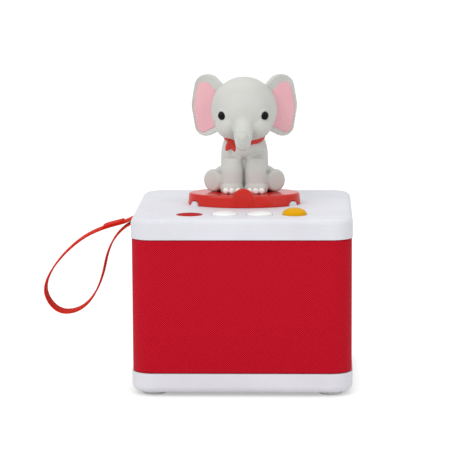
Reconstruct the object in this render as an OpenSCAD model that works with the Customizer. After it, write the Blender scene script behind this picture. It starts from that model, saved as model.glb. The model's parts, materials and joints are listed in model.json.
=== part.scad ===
// Audio story player with a lift-off toy figure, a carrying strap and four buttons.
// The front faces -Y, the strap is on -X, and z = 0 is the surface that the feet stand on.

/* [Case] */
// Width of the case, left to right
case_w = 120; // [116:1:150]
// Depth of the case, front to back
case_d = 120; // [116:1:150]
// Radius of the four upright corners
corner_r = 12; // [11:0.5:16]
// Height of the base cover
base_h = 10.8; // [10.8:0.2:16]
// Height of the fabric band between the covers
band_h = 73.2; // [70:0.5:100]
// Height of the top cover
top_h = 11.2; // [11:0.2:16]
// Wall of both covers
cover_wall = 2.2; // [1.8:0.1:2.4]
// Thickness of the lid's flat top
lid_t = 2.4; // [2:0.1:2.6]
// Thickness of the base cover's floor
floor_t = 2.2; // [1.8:0.1:2.4]
// Rounding of the lid's edge
lid_edge_r = 3.2; // [2:0.1:3.5]
// Rounding of the base's edge
base_edge_r = 4; // [2.5:0.1:4]
// How far the fabric stands back from the covers
band_recess = 0.5; // [0.3:0.1:1]
// Thickness of the woven sleeve
sleeve_t = 0.8; // [0.6:0.1:1.2]

/* [Feet and screws] */
// Distance of the feet and corner screws from each side
corner_inset = 12; // [12:0.5:15]
// Radius of a rubber foot
foot_r = 6.5; // [5.5:0.1:7]
// How far a foot stands below the base
foot_h = 1.8; // [0.8:0.1:2.4]
// Radius of a screw's thread
screw_r = 1.25; // [1:0.05:1.5]
// Radius of a screw's head
screw_head_r = 2.7; // [2.4:0.1:2.9]
// Height of a screw's head
screw_head_h = 1.8; // [1.4:0.1:2]

/* [Frame] */
// Wall of the inner frame
frame_wall = 2.4; // [2:0.1:3]
// Width of one slot of the loudspeaker grille
slot_w = 3; // [2:0.1:3.5]
// Distance between slot centres
slot_pitch = 5.2; // [5:0.1:8]

/* [Buttons] */
// Distance between button centres
button_pitch = 19; // [18.5:0.5:22]
// Distance of the button row from the front
button_row_inset = 19; // [18:0.5:22]
// Radius of the power and volume buttons
button_r = 7; // [6:0.1:7]
// Radius of the play button
play_r = 6.5; // [5.5:0.1:7]
// Travel of a button
button_travel = 0.8; // [0.4:0.1:1]
// Height of the volume domes above the lid
volume_dome_h = 2; // [1.5:0.1:4]
// Height of the play dome above the lid
play_dome_h = 3.6; // [2:0.1:4]
// Depth of the dish in the power button
power_dish = 0.6; // [0.3:0.1:0.8]

/* [Strap] */
// Width of the strap band
strap_w = 12; // [6:0.5:14]
// Thickness of the strap band
strap_t = 1; // [0.8:0.1:1.2]
// Reach of the strap loop outwards from its pin
strap_reach = 54.6; // [45:0.2:70]
// Drop of the strap loop below its pin
strap_drop = 54.8; // [45:0.2:70]
// Radius of the strap pin
pin_r = 1; // [0.8:0.05:1.2]
// Depth of the pin's centre behind the wall's face
pin_inset = 1.8; // [1.6:0.1:2]
// Height of the pin above the lid's lower edge
pin_rise = 4.6; // [4.4:0.1:5]

/* [Figure] */
// Half the length of the oval disc
disc_a = 31.5; // [28:0.5:34]
// Half the width of the oval disc
disc_b = 19.5; // [18:0.5:22]
// Height of the disc
disc_h = 6.5; // [6:0.5:9]
// Distance of the disc's centre behind the case's centre
disc_back = 1.5; // [0:0.5:3]
// Radius of the elephant's head
head_r = 18.5; // [16:0.5:19]
// Height of the head's centre above the disc
head_rise = 46; // [44:0.5:48]
// How far the figure lifts off
figure_lift = 30; // [10:1:60]

/* [Electronics] */
// Thickness of the circuit boards
board_t = 1.2; // [1:0.1:1.6]
// Radius of the loudspeaker's flange
speaker_r = 33; // [30:0.5:34]
// Radius of the battery cell
cell_r = 9.2; // [9:0.1:9.5]
// Length of the battery cell
cell_len = 65; // [60:0.5:66]

/* [Fits] */
// Gap round a button and between other moving pieces
moving_gap = 0.3; // [0.2:0.05:0.4]
// Radial clearance of the strap's eye on its pin
eye_fit = 0.05; // [0.02:0.01:0.1]
// Radial clearance round a screw's thread
screw_fit = 0.05; // [0.02:0.01:0.1]
// Gap between a part and the soft or glued piece next to it
soft_gap = 0.3; // [0.2:0.05:0.4]
// Gap between a button's flange and its collar
lift_gap = 0.1; // [0.05:0.05:0.2]

/* [Hidden] */
$fn = 48;

// Levels, from the table upwards
z_base = foot_h;
z_floor = z_base + floor_t;
z_band = z_base + base_h;
z_top = z_band + band_h;
z_lid = z_top + top_h;
z_under_lid = z_lid - lid_t;

// Overlap that makes a cut pass cleanly through a face
cut = 1;
both = [-1, 1];

// Inner frame
frame_w = case_w - 2 * (band_recess + sleeve_t + soft_gap);
frame_d = case_d - 2 * (band_recess + sleeve_t + soft_gap);
frame_r = corner_r - (case_w - frame_w) / 2;
frame_in_w = frame_w - 2 * frame_wall;
frame_in_d = frame_d - 2 * frame_wall;
rim_w = case_w - 2 * (cover_wall + soft_gap);
rim_d = case_d - 2 * (cover_wall + soft_gap);
rim_r = corner_r - cover_wall - soft_gap;
rim_h = 2;
post_size = 14;
post_h = 16;
gusset_t = 2.4;
corner_x = case_w / 2 - corner_inset;
corner_y = case_d / 2 - corner_inset;

// Screws and bosses
pilot_r = screw_r + screw_fit;
screw_hole_r = screw_r + 0.45;
boss_r = pilot_r + 2.1;
small_screw_r = 0.9;
small_head_r = 1.6;
small_head_h = 1;
small_pilot_r = small_screw_r + screw_fit;
small_boss_r = small_pilot_r + 1.5;
counterbore_r = screw_head_r + 0.3;
counterbore_seat = z_base + 4;
foot_recess = 0.8;
base_boss_r = counterbore_r + 1.6;

// Buttons, from the lid downwards
button_y = -case_d / 2 + button_row_inset;
collar_h = 3;
collar_wall = 1.2;
flange_h = 1;
flange_reach = 0.9;
stem_r = 2.6;
stem_h = 0.8;
z_collar = z_under_lid - collar_h;
z_flange_top = z_collar - lift_gap;
z_flange = z_flange_top - flange_h;
z_stem = z_flange - stem_h;
plunger_r = 1.7;
plunger_rise = button_travel + 0.4;
plunger_depth = 1.2;
switch_size = 6;
switch_h = 3.4;
z_switch_top = z_stem - plunger_rise;
z_button_board = z_switch_top - switch_h - board_t;
button_board_w = 4 * button_pitch;
button_board_front = 8;
button_board_back = 16;
board_screw_x = 25;
board_screw_y = button_y + 12;

// Strap
pin_x = -case_w / 2 + pin_inset;
pin_z = z_top + pin_rise;
eye_in_r = pin_r + eye_fit;
eye_out_r = eye_in_r + strap_t;
pocket_side_gap = 1.5;
pocket_w = strap_w + 2 * pocket_side_gap;
pocket_half = eye_out_r + 1.75;
pocket_d = pin_inset + eye_out_r + 0.35;
pocket_flare = 0.4;
pocket_wall = 1.2;

// Seat of the figure
seat_depth = 1.2;
spigot_h = 1;
spigot_a = 25;
spigot_b = 13;
plate_t = 1.6;
disc_wall = 2.2;
disc_top_t = 2;
disc_taper = 0.6;
disc_round = 1;
z_disc = z_lid + disc_h;
notch_r = 3;
notch_depth = 3.5;
key_gap = 0.5;
key_out = 0.6;
key_in = 1.9;
notch_turn = 60;
medallion_r = 6.2;
medallion_t = 3;
medallion_rise = 4.2;
figure_screw_x = 9;

// Reader and magnets
magnet_r = 5;
magnet_t = 2;
reader_w = 58;
reader_d = 40;
reader_screw_x = reader_w / 2 - 3;
z_reader = z_under_lid - 2.2;
coil_t = 0.2;

// Main board
z_main = z_floor + 1.2;
main_side_gap = 14;
main_w = case_w - 2 * main_side_gap;
main_front = 8;
main_back = case_d / 2 - cover_wall - 2.2;
main_screw_inset = 4;
main_screw_x = main_w / 2 - main_screw_inset;
port_x = 12;
jack_bore_r = 1.8;
jack_collar_r = 2.9;
jack_depth = 14;
jack_w = 7;
jack_h = 5;
jack_len = 13;
jack_z = z_main + board_t + jack_h / 2;
usb_w = 9;
usb_h = 3.2;
usb_len = 7.4;
usb_shell = 0.3;
usb_z = z_main + board_t + usb_h / 2;
port_clear = 0.2;

// Loudspeaker, measured backwards from the front of its flange
baffle_h = 3;
speaker_z = z_band + band_h / 2;
speaker_y = -frame_in_d / 2 + baffle_h;
flange_t = 1.2;
basket_r = speaker_r - 4.5;
basket_back_r = 17.5;
basket_depth = 16;
cone_r = basket_r - 5.3;
cone_depth = 8.6;
coil_r = 8;
magnet_out_r = 20;
top_plate_t = 3;
ferrite_t = 8;
yoke_t = 3;
speaker_screw_ring = speaker_r - 2.2;

// Battery
cell_y = -20;
cell_z = z_floor + 1 + cell_r;
holder_wall = 1.6;
holder_h = 10;
contact_t = 0.4;
contact_gap = 3;

// Flat rectangle with round corners
module round_rect(w, d, r) {
    square([w - 2 * r, d], center = true);
    square([w, d - 2 * r], center = true);
    for (sx = both, sy = both)
        translate([sx * (w / 2 - r), sy * (d / 2 - r)]) circle(r);
}

module round_block(w, d, r, h) {
    linear_extrude(h) round_rect(w, d, r);
}

// Block with upright round corners of radius r and its top edge rounded by edge
module soft_edge_block(w, d, r, h, edge) {
    module section() {
        square([r - edge, h]);
        square([r, h - edge]);
        translate([r - edge, h - edge]) intersection() {
            circle(edge);
            square(edge);
        }
    }
    core_w = w - 2 * r;
    core_d = d - 2 * r;
    translate([-core_w / 2, -core_d / 2, 0]) cube([core_w, core_d, h]);
    for (side = [0:3]) {
        run = side % 2 == 0 ? core_d : core_w;
        away = (side % 2 == 0 ? core_w : core_d) / 2;
        rotate(90 * side) translate([away, run / 2, 0]) rotate([90, 0, 0])
            linear_extrude(run) section();
        rotate(90 * side) translate([away, run / 2, 0])
            rotate_extrude(angle = 90) section();
    }
}

// The same solid at each corner of the case
module at_corners() {
    for (sx = both, sy = both) translate([sx * corner_x, sy * corner_y, 0]) children();
}

// Screw with its head's underside at z = 0 and its thread upwards
module screw(length, r = screw_r, head_r = screw_head_r, head_h = screw_head_h) {
    difference() {
        translate([0, 0, -head_h]) cylinder(r = head_r, h = head_h);
        translate([0, 0, -head_h - cut]) cylinder(r = head_r * 0.45, h = head_h * 0.5 + cut, $fn = 6);
    }
    cylinder(r = r, h = length);
}

// Points of an oval, counter-clockwise
function oval_points(a, b, steps = 60) =
    [for (i = [0:steps - 1]) [a * cos(360 * i / steps), b * sin(360 * i / steps)]];

module oval(a, b) {
    polygon(oval_points(a, b));
}

// Point at share t of a curve from a to b, leaving and arriving along unit directions
function curve_point(a, b, from_dir, to_dir, from_pull, to_pull, t) =
    let (p = a + from_pull * from_dir, q = b - to_pull * to_dir)
    pow(1 - t, 3) * a + 3 * t * pow(1 - t, 2) * p + 3 * t * t * (1 - t) * q + pow(t, 3) * b;
function heading(angle) = [cos(angle), sin(angle)];

// ---- Case ----

module strap_pocket(grow) {
    // Side view of the pocket, x from the wall's face inwards, z from the pin; its wall
    // reaches down to the cover's lower edge at most
    half = pocket_half + grow;
    low = min(half, pin_rise);
    deep = pocket_d + grow;
    mouth = pocket_half + pocket_flare;
    rotate([90, 0, 0]) linear_extrude(pocket_w + 2 * grow, center = true)
        polygon(grow > 0
            ? [[cover_wall / 2, -low], [deep, -low], [deep, half], [cover_wall / 2, half]]
            : [[-cut, -mouth], [0, -mouth], [pin_inset, -half], [deep, -half],
               [deep, half], [pin_inset, half], [0, mouth], [-cut, mouth]]);
}

module top_cover() color("white") difference() {
    union() {
        difference() {
            translate([0, 0, z_top]) soft_edge_block(case_w, case_d, corner_r, top_h, lid_edge_r);
            translate([0, 0, z_top - cut])
                round_block(case_w - 2 * cover_wall, case_d - 2 * cover_wall,
                    corner_r - cover_wall, top_h - lid_t + cut);
        }
        for (i = [0:3]) translate([button_x(i), button_y, z_collar])
            cylinder(r = button_hole_r(i) + collar_wall, h = collar_h + cut / 2);
        translate([0, 0, z_top]) at_corners() cylinder(r = boss_r, h = top_h - lid_t + cut / 2);
        for (sx = both) {
            translate([sx * board_screw_x, board_screw_y, z_button_board + board_t])
                cylinder(r = small_boss_r, h = z_under_lid - z_button_board - board_t + cut / 2);
            translate([sx * reader_screw_x, disc_back, z_reader + board_t])
                cylinder(r = small_boss_r, h = z_under_lid - z_reader - board_t + cut / 2);
        }
        translate([-case_w / 2, 0, pin_z]) strap_pocket(pocket_wall);
    }
    for (i = [0:3]) translate([button_x(i), button_y, z_collar - cut])
        cylinder(r = button_hole_r(i), h = collar_h + lid_t + 2 * cut);
    translate([0, disc_back, z_lid - seat_depth]) linear_extrude(seat_depth + cut)
        oval(spigot_a + moving_gap, spigot_b + moving_gap);
    translate([-case_w / 2, 0, pin_z]) strap_pocket(0);
    translate([pin_x, 0, pin_z]) rotate([90, 0, 0])
        cylinder(r = pin_r, h = pocket_w + 2 * pocket_wall + 2 * cut, center = true);
    translate([0, 0, z_top - cut]) at_corners() cylinder(r = pilot_r, h = 7 + cut);
    for (sx = both) {
        translate([sx * board_screw_x, board_screw_y, z_button_board + board_t - cut])
            cylinder(r = small_pilot_r, h = 6 + cut);
        translate([sx * reader_screw_x, disc_back, z_reader + board_t - cut])
            cylinder(r = small_pilot_r, h = 2 + cut);
    }
}

module base_cover() color("white") difference() {
    union() {
        difference() {
            translate([0, 0, z_band]) mirror([0, 0, 1])
                soft_edge_block(case_w, case_d, corner_r, base_h, base_edge_r);
            translate([0, 0, z_floor])
                round_block(case_w - 2 * cover_wall, case_d - 2 * cover_wall,
                    corner_r - cover_wall, base_h - floor_t + cut);
        }
        translate([0, 0, z_floor - cut / 2])
            at_corners() cylinder(r = base_boss_r, h = z_band - z_floor + cut / 2);
        main_board_holes() translate([0, 0, z_floor - cut / 2])
            cylinder(r = small_boss_r, h = z_main - z_floor + cut / 2);
    }
    at_corners() {
        translate([0, 0, z_base - cut]) cylinder(r = foot_r, h = foot_recess + cut);
        translate([0, 0, z_base]) cylinder(r = counterbore_r, h = counterbore_seat - z_base);
        translate([0, 0, z_base]) cylinder(r = screw_hole_r, h = base_h + cut);
    }
    main_board_holes() translate([0, 0, z_floor - 1])
        cylinder(r = small_pilot_r, h = z_main - z_floor + 1 + cut);
    translate([port_x, case_d / 2 + cut, jack_z]) rotate([90, 0, 0])
        cylinder(r = jack_collar_r + port_clear, h = cover_wall + 2 * cut);
    translate([-port_x, case_d / 2 + cut, usb_z]) rotate([90, 0, 0])
        round_block(usb_w + 2 * port_clear, usb_h + 2 * port_clear,
            usb_h / 2 + port_clear - 0.01, cover_wall + 2 * cut);
}

module grille_frame() color("dimgray") difference() {
    union() {
        difference() {
            union() {
                translate([0, 0, z_band]) round_block(frame_w, frame_d, frame_r, band_h);
                translate([0, 0, z_band - rim_h])
                    round_block(rim_w, rim_d, rim_r, band_h + 2 * rim_h);
            }
            translate([0, 0, z_band - rim_h - cut])
                round_block(frame_in_w, frame_in_d, frame_r - frame_wall,
                    band_h + 2 * (rim_h + cut));
        }
        frame_corners(z_band, post_h);
        frame_corners(z_top - gusset_t, gusset_t);
        translate([0, speaker_y, speaker_z]) rotate([90, 0, 0]) difference() {
            cylinder(r = speaker_r + 1, h = baffle_h + frame_wall / 2);
            translate([0, 0, -cut]) cylinder(r = basket_r + 1, h = baffle_h + cut);
        }
    }
    grille_slots();
    translate([0, 0, z_band - cut]) at_corners() cylinder(r = pilot_r, h = post_h - 2 + cut);
    translate([0, 0, z_top - gusset_t - cut]) at_corners()
        cylinder(r = screw_hole_r, h = gusset_t + 2 * cut);
    speaker_holes() translate([0, 0, -baffle_h])
        cylinder(r = small_pilot_r, h = baffle_h + cut);
    // Room for the strap pocket and for the two sockets
    translate([-case_w / 2, -pocket_w / 2 - pocket_wall - soft_gap, z_top])
        cube([pocket_d + pocket_wall + soft_gap, pocket_w + 2 * (pocket_wall + soft_gap), rim_h + cut]);
    translate([-port_x - usb_w, frame_in_d / 2 - cut, z_band - rim_h - cut])
        cube([2 * port_x + 2 * usb_w, case_d / 2 - frame_in_d / 2, rim_h + cut]);
}

// The frame's inner corners, filled over a height
module frame_corners(z, h) {
    translate([0, 0, z]) difference() {
        round_block(frame_in_w + frame_wall, frame_in_d + frame_wall, frame_r - frame_wall / 2, h);
        translate([-frame_in_w / 2 + post_size, -frame_d / 2, -cut])
            cube([frame_in_w - 2 * post_size, frame_d, h + 2 * cut]);
        translate([-frame_w / 2, -frame_in_d / 2 + post_size, -cut])
            cube([frame_w, frame_in_d - 2 * post_size, h + 2 * cut]);
    }
}

// Upright slots in front of the cone, as tall as the round opening allows
module grille_slots() {
    count = floor((cone_r - slot_w / 2) / slot_pitch);
    for (i = [-count:count]) {
        x = i * slot_pitch;
        tall = 2 * sqrt(pow(basket_r - 1, 2) - pow(abs(x) + slot_w / 2, 2));
        translate([x - slot_w / 2, -frame_d / 2 - cut, speaker_z - tall / 2])
            cube([slot_w, frame_wall + 2 * cut, tall]);
    }
}

module fabric_sleeve() color("crimson") {
    sleeve_w = case_w - 2 * band_recess;
    sleeve_d = case_d - 2 * band_recess;
    sleeve_r = corner_r - band_recess;
    translate([0, 0, z_band + soft_gap]) difference() {
        round_block(sleeve_w, sleeve_d, sleeve_r, band_h - 2 * soft_gap);
        translate([0, 0, -cut]) round_block(sleeve_w - 2 * sleeve_t, sleeve_d - 2 * sleeve_t,
            sleeve_r - sleeve_t, band_h + 2 * cut);
    }
}

module rubber_feet() color("gainsboro") at_corners() cylinder(r = foot_r, h = foot_h + foot_recess);

base_bite = 10;
module base_screws() color("silver") at_corners()
    translate([0, 0, counterbore_seat]) screw(z_band - counterbore_seat + base_bite);

cover_bite = 6;
module cover_screws() color("silver") at_corners()
    translate([0, 0, z_top - gusset_t]) screw(gusset_t + cover_bite);

// ---- Strap ----

// Corners of the strap's route: outward share of the reach, share of the drop, direction,
// and how hard the curve is pulled before and after the corner
strap_corners = [
    [0.015, 0.024, -39.2, 0, 11.2],
    [0.502, -0.175, -25.7, 15.4, 13.4],
    [0.99, -0.763, -91, 10.3, 5],
    [0.772, -0.997, 179.7, 7.3, 13.3],
    [0.369, -0.498, 101.1, 12.3, 13.5],
    [-0.007, -0.027, 160, 13.3, 0]
];
strap_steps = 10;
lap_from = 0.35;
lap_to = 0.85;
function strap_corner(i) = [strap_corners[i][0] * strap_reach, strap_corners[i][1] * strap_drop];
function strap_route(s) =
    let (last = len(strap_corners) - 1, i = min(floor(s), last - 1), a = strap_corners[i],
        b = strap_corners[i + 1])
    curve_point(strap_corner(i), strap_corner(i + 1), heading(a[2]), heading(b[2]),
        a[4], b[3], s - i);
function strap_normal(s) =
    let (last = len(strap_corners) - 1, step = 0.01, d = strap_route(min(s + step, last))
        - strap_route(max(s - step, 0)))
    [-d[1], d[0]] / norm(d);
// The free end is lapped over the outside of the upper run
function lap(s) = s > lap_from && s < lap_to ? strap_t : 0;

module strap_band() {
    last = len(strap_corners) - 1;
    shares = [for (k = [0:strap_steps * last]) k / strap_steps];
    outer = [for (s = shares) strap_route(s) + strap_normal(s) * (strap_t / 2 + lap(s))];
    inner = [for (s = shares) strap_route(s) - strap_normal(s) * strap_t / 2];
    count = len(inner);
    polygon(concat(outer, [for (k = [1:count]) inner[count - k]]));
}

// Seen from the front, the loop reaches left from the pin
module strap() color("tomato") translate([pin_x, 0, pin_z]) difference() {
    union() {
        rotate([90, 0, 180]) linear_extrude(strap_w, center = true) strap_band();
        rotate([90, 0, 0]) cylinder(r = eye_out_r, h = strap_w, center = true);
    }
    rotate([90, 0, 0]) cylinder(r = eye_in_r, h = strap_w + 2 * cut, center = true);
}

module strap_pin() color("silver") translate([pin_x, 0, pin_z]) rotate([90, 0, 0])
    cylinder(r = pin_r, h = pocket_w + 2 * pocket_wall, center = true);

// ---- Buttons ----

function button_x(i) = (i - 1.5) * button_pitch;
function button_cap_r(i) = i == 3 ? play_r : button_r;
function button_hole_r(i) = button_cap_r(i) + moving_gap;

// Cap with its flange and stem, up to the lid's top
module button_base(i) translate([button_x(i), button_y, 0]) {
    translate([0, 0, z_flange]) cylinder(r = button_cap_r(i), h = z_lid - z_flange);
    translate([0, 0, z_flange])
        cylinder(r = button_hole_r(i) + flange_reach, h = flange_h);
    translate([0, 0, z_stem]) cylinder(r = stem_r, h = stem_h + flange_h / 2);
}

// Dome of a button that rises above the lid on a short upright side
module button_dome(i, rise, side) {
    r = button_cap_r(i);
    crown = rise - side;
    ball_r = (r * r + crown * crown) / (2 * crown);
    translate([button_x(i), button_y, z_lid - cut / 2]) intersection() {
        cylinder(r = r, h = rise + cut);
        translate([0, 0, cut / 2 + rise - ball_r]) sphere(r = ball_r, $fn = 96);
    }
}

module power_button() color("firebrick") difference() {
    button_base(0);
    dish_r = button_r - 0.8;
    ball_r = (dish_r * dish_r + power_dish * power_dish) / (2 * power_dish);
    translate([button_x(0), button_y, z_lid - power_dish + ball_r]) sphere(r = ball_r, $fn = 96);
}
module volume_down_button() color("white") {
    button_base(1);
    button_dome(1, volume_dome_h, 0.3);
}
module volume_up_button() color("white") {
    button_base(2);
    button_dome(2, volume_dome_h, 0.3);
}
module play_button() color("gold") {
    button_base(3);
    button_dome(3, play_dome_h, 1);
}

module plunger(i) color("dimgray") translate([button_x(i), button_y, z_switch_top - plunger_depth])
    cylinder(r = plunger_r, h = plunger_rise + plunger_depth);
module power_plunger() plunger(0);
module volume_down_plunger() plunger(1);
module volume_up_plunger() plunger(2);
module play_plunger() plunger(3);

module tact_switches() color("black") for (i = [0:3]) {
    translate([button_x(i), button_y, z_button_board + board_t]) difference() {
        translate([-switch_size / 2, -switch_size / 2, 0]) cube([switch_size, switch_size, switch_h]);
        translate([0, 0, switch_h - plunger_depth - button_travel - moving_gap])
            cylinder(r = plunger_r + moving_gap, h = switch_h);
    }
}

module button_board() color("darkgreen") difference() {
    translate([-button_board_w / 2, button_y - button_board_front, z_button_board])
        cube([button_board_w, button_board_front + button_board_back, board_t]);
    for (sx = both) translate([sx * board_screw_x, board_screw_y, z_button_board - cut])
        cylinder(r = small_screw_r + 0.2, h = board_t + 2 * cut);
}

module board_screws() color("silver") for (sx = both)
    translate([sx * board_screw_x, board_screw_y, z_button_board])
        screw(board_t + 5, small_screw_r, small_head_r, small_head_h);

// ---- Reader of the figure ----

module reader_board() color("darkgreen") translate([0, disc_back, z_reader]) difference() {
    translate([-reader_w / 2, -reader_d / 2, 0]) cube([reader_w, reader_d, board_t]);
    translate([0, 0, -cut]) cylinder(r = magnet_r + 1, h = board_t + 2 * cut);
    for (sx = both) translate([sx * reader_screw_x, 0, -cut])
        cylinder(r = small_screw_r + 0.2, h = board_t + 2 * cut);
}

// Rectangular copper spiral, each turn one step inside the last
module antenna_coil() color("goldenrod") translate([0, disc_back, z_reader + board_t]) {
    turns = 4;
    track = 0.6;
    step = 1.3;
    half_w = reader_w / 2 - 7;
    half_d = reader_d / 2 - 2;
    for (k = [0:turns - 1]) {
        w = half_w - k * step;
        d = half_d - k * step;
        translate([-w, -d, 0]) cube([2 * w, track, coil_t]);
        translate([w - track, -d, 0]) cube([track, 2 * d, coil_t]);
        translate([-w + step, d - track, 0]) cube([2 * w - step, track, coil_t]);
        translate([-w + step, -d + step, 0]) cube([track, 2 * d - step, coil_t]);
    }
}

module reader_screws() color("silver") for (sx = both)
    translate([sx * reader_screw_x, disc_back, z_reader])
        screw(board_t + 1.6, small_screw_r, small_head_r, small_head_h);

module seat_magnet() color("silver") translate([0, disc_back, z_under_lid - magnet_t])
    cylinder(r = magnet_r, h = magnet_t);

// ---- Main board and sockets ----

module main_board_holes() {
    for (sx = both, y = [main_front + main_screw_inset, main_back - main_screw_inset])
        translate([sx * main_screw_x, y, 0]) children();
}

module main_board() color("darkgreen") difference() {
    translate([-main_w / 2, main_front, z_main]) cube([main_w, main_back - main_front, board_t]);
    main_board_holes() translate([0, 0, z_main - cut])
        cylinder(r = small_screw_r + 0.2, h = board_t + 2 * cut);
    at_corners() translate([0, 0, z_main - cut]) cylinder(r = base_boss_r + soft_gap, h = board_t + 2 * cut);
}

// Driven from above
module main_board_screws() color("silver") main_board_holes()
    translate([0, 0, z_main + board_t]) mirror([0, 0, 1])
        screw(board_t + 2, small_screw_r, small_head_r, small_head_h);

// Chips: left edge, distance behind the board's front, width, depth and height
chips = [[-7, 14, 14, 14, 1.2], [-30, 16, 10, 7, 1], [20, 12, 9, 12, 1.4]];
module board_chips() color("dimgray") for (chip = chips)
    translate([chip[0], main_front + chip[1], z_main + board_t]) cube([chip[2], chip[3], chip[4]]);

capacitor_r = 2.5;
capacitor_h = 5.5;
capacitor_inset = 9;
capacitor_step = 7;
module board_capacitors() color("darkslategray") for (side = both, k = [0, 1])
    translate([side * (main_w / 2 - capacitor_inset - k * capacitor_step),
        main_back - capacitor_inset - main_screw_inset, z_main + board_t])
        cylinder(r = capacitor_r, h = capacitor_h);

module usb_socket() color("silver") translate([-port_x, case_d / 2 - 0.4, usb_z]) rotate([90, 0, 0]) {
    difference() {
        round_block(usb_w, usb_h, usb_h / 2 - 0.01, usb_len);
        translate([0, 0, -cut]) round_block(usb_w - 2 * usb_shell, usb_h - 2 * usb_shell,
            usb_h / 2 - usb_shell - 0.01, usb_len - 1 + cut);
    }
    translate([-3.3, -0.35, 1]) cube([6.6, 0.7, usb_len - 1.5]);
}

module headphone_jack() color("black") translate([port_x, case_d / 2, jack_z]) rotate([90, 0, 0])
    difference() {
        union() {
            cylinder(r = jack_collar_r, h = cover_wall + 1);
            translate([-jack_w / 2, -jack_h / 2, cover_wall + 0.4]) cube([jack_w, jack_h, jack_len]);
        }
        translate([0, 0, -cut]) cylinder(r = jack_bore_r, h = jack_depth + cut);
    }

// ---- Loudspeaker ----

// Turned about the speaker's axis; the section is drawn with y backwards from the flange
module speaker_turned() translate([0, speaker_y, speaker_z]) rotate([-90, 0, 0])
    rotate_extrude($fn = 72) children();

module speaker_holes() for (turn = [45:90:315])
    translate([0, speaker_y, speaker_z]) rotate([-90, 0, 0]) rotate(turn)
        translate([speaker_screw_ring, 0, 0]) children();

module speaker_basket() color("dimgray") difference() {
    speaker_turned() polygon([[speaker_r, 0], [speaker_r, flange_t], [basket_r, flange_t],
        [basket_back_r, basket_depth - flange_t], [basket_back_r, basket_depth],
        [coil_r + 1, basket_depth], [coil_r + 1, basket_depth - flange_t],
        [basket_back_r - flange_t, basket_depth - flange_t], [basket_r - 1.3, flange_t],
        [basket_r - 1.3, 0]]);
    speaker_holes() translate([0, 0, -cut]) cylinder(r = small_screw_r + 0.2, h = flange_t + 2 * cut);
}

module speaker_surround() color("black") speaker_turned() {
    roll_r = 2.4;
    roll_t = 0.5;
    middle = basket_r - 3.5;
    translate([middle, -roll_t / 2]) difference() {
        circle(roll_r);
        circle(roll_r - roll_t);
        translate([-roll_r - cut, roll_t / 2]) square([2 * (roll_r + cut), roll_r + cut]);
    }
    translate([middle + roll_r - roll_t, -roll_t]) square([2.2, roll_t]);
    translate([middle - roll_r - 1.6, -roll_t]) square([2.1, roll_t]);
}

module speaker_cone() color("darkslategray") speaker_turned()
    polygon([[cone_r, 0], [cone_r - 2.2, 0], [coil_r, cone_depth], [coil_r, cone_depth + 0.6],
        [cone_r - 2, 0.6], [cone_r, 0.6]]);

module dust_cap() color("black") speaker_turned() {
    cap_r = coil_r + 1.2;
    cap_rise = 3;
    cap_t = 0.4;
    ball_r = (cap_r * cap_r + cap_rise * cap_rise) / (2 * cap_rise);
    seat = cone_depth - 1.2;
    translate([0, seat - cap_rise]) intersection() {
        translate([0, ball_r]) difference() {
            circle(ball_r, $fn = 96);
            circle(ball_r - cap_t, $fn = 96);
        }
        square([cap_r, cap_rise]);
    }
}

module voice_coil() color("orange") speaker_turned()
    translate([coil_r - 0.4, cone_depth + 0.7]) square([0.4, 8]);

module speaker_top_plate() color("silver") speaker_turned()
    translate([coil_r + 0.8, basket_depth]) square([magnet_out_r - 2 - coil_r - 0.8, top_plate_t]);

module speaker_magnet() color("dimgray") speaker_turned()
    translate([coil_r + 2.5, basket_depth + top_plate_t])
        square([magnet_out_r - coil_r - 2.5, ferrite_t]);

module speaker_yoke() color("silver") speaker_turned() {
    pole_r = coil_r - 0.8;
    translate([0, basket_depth]) square([pole_r, top_plate_t + ferrite_t + cut]);
    translate([0, basket_depth + top_plate_t + ferrite_t]) square([magnet_out_r - 1.5, yoke_t]);
}

module speaker_screws() color("silver") speaker_holes() translate([0, 0, flange_t]) mirror([0, 0, 1])
    screw(flange_t + 2.6, small_screw_r, small_head_r, small_head_h);

// ---- Battery and leads ----

module battery_cell() color("steelblue") translate([-cell_len / 2, cell_y, cell_z])
    rotate([0, 90, 0]) cylinder(r = cell_r, h = cell_len);

module battery_holder() color("black") difference() {
    holder_w = cell_len + 2 * (contact_gap + holder_wall);
    holder_d = 2 * (cell_r + soft_gap + holder_wall);
    translate([-holder_w / 2, cell_y - holder_d / 2, z_floor]) cube([holder_w, holder_d, holder_h]);
    translate([-holder_w / 2 + holder_wall, cell_y - holder_d / 2 + holder_wall, z_floor + 0.8])
        cube([holder_w - 2 * holder_wall, holder_d - 2 * holder_wall, holder_h]);
}

module battery_contacts() color("silver") for (sx = both) {
    contact_x = cell_len / 2 + contact_gap - contact_t;
    translate([sx > 0 ? contact_x : -contact_x - contact_t, cell_y - 5, z_floor + 0.8])
        cube([contact_t, 10, holder_h]);
    translate([sx > 0 ? cell_len / 2 : -contact_x, cell_y - 2, cell_z - 3])
        cube([contact_gap - contact_t, 4, 1.5]);
}

// Flat cable of one thickness along a route in the side view, points [y, z]
ribbon_t = 0.3;
module ribbon(x, width, route) translate([x - width / 2, 0, 0]) rotate([90, 0, 90])
    linear_extrude(width) polygon(route);

module button_ribbon() color("white") {
    start = button_y + button_board_back - 4;
    z_run = z_button_board - ribbon_t;
    drop_y = 14;
    end = z_main + board_t;
    ribbon(-12, 8, [[start, z_run], [start, z_button_board], [drop_y + ribbon_t, z_button_board],
        [drop_y + ribbon_t, end + ribbon_t], [drop_y + 4, end + ribbon_t], [drop_y + 4, end],
        [drop_y, end], [drop_y, z_run]]);
}

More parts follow.
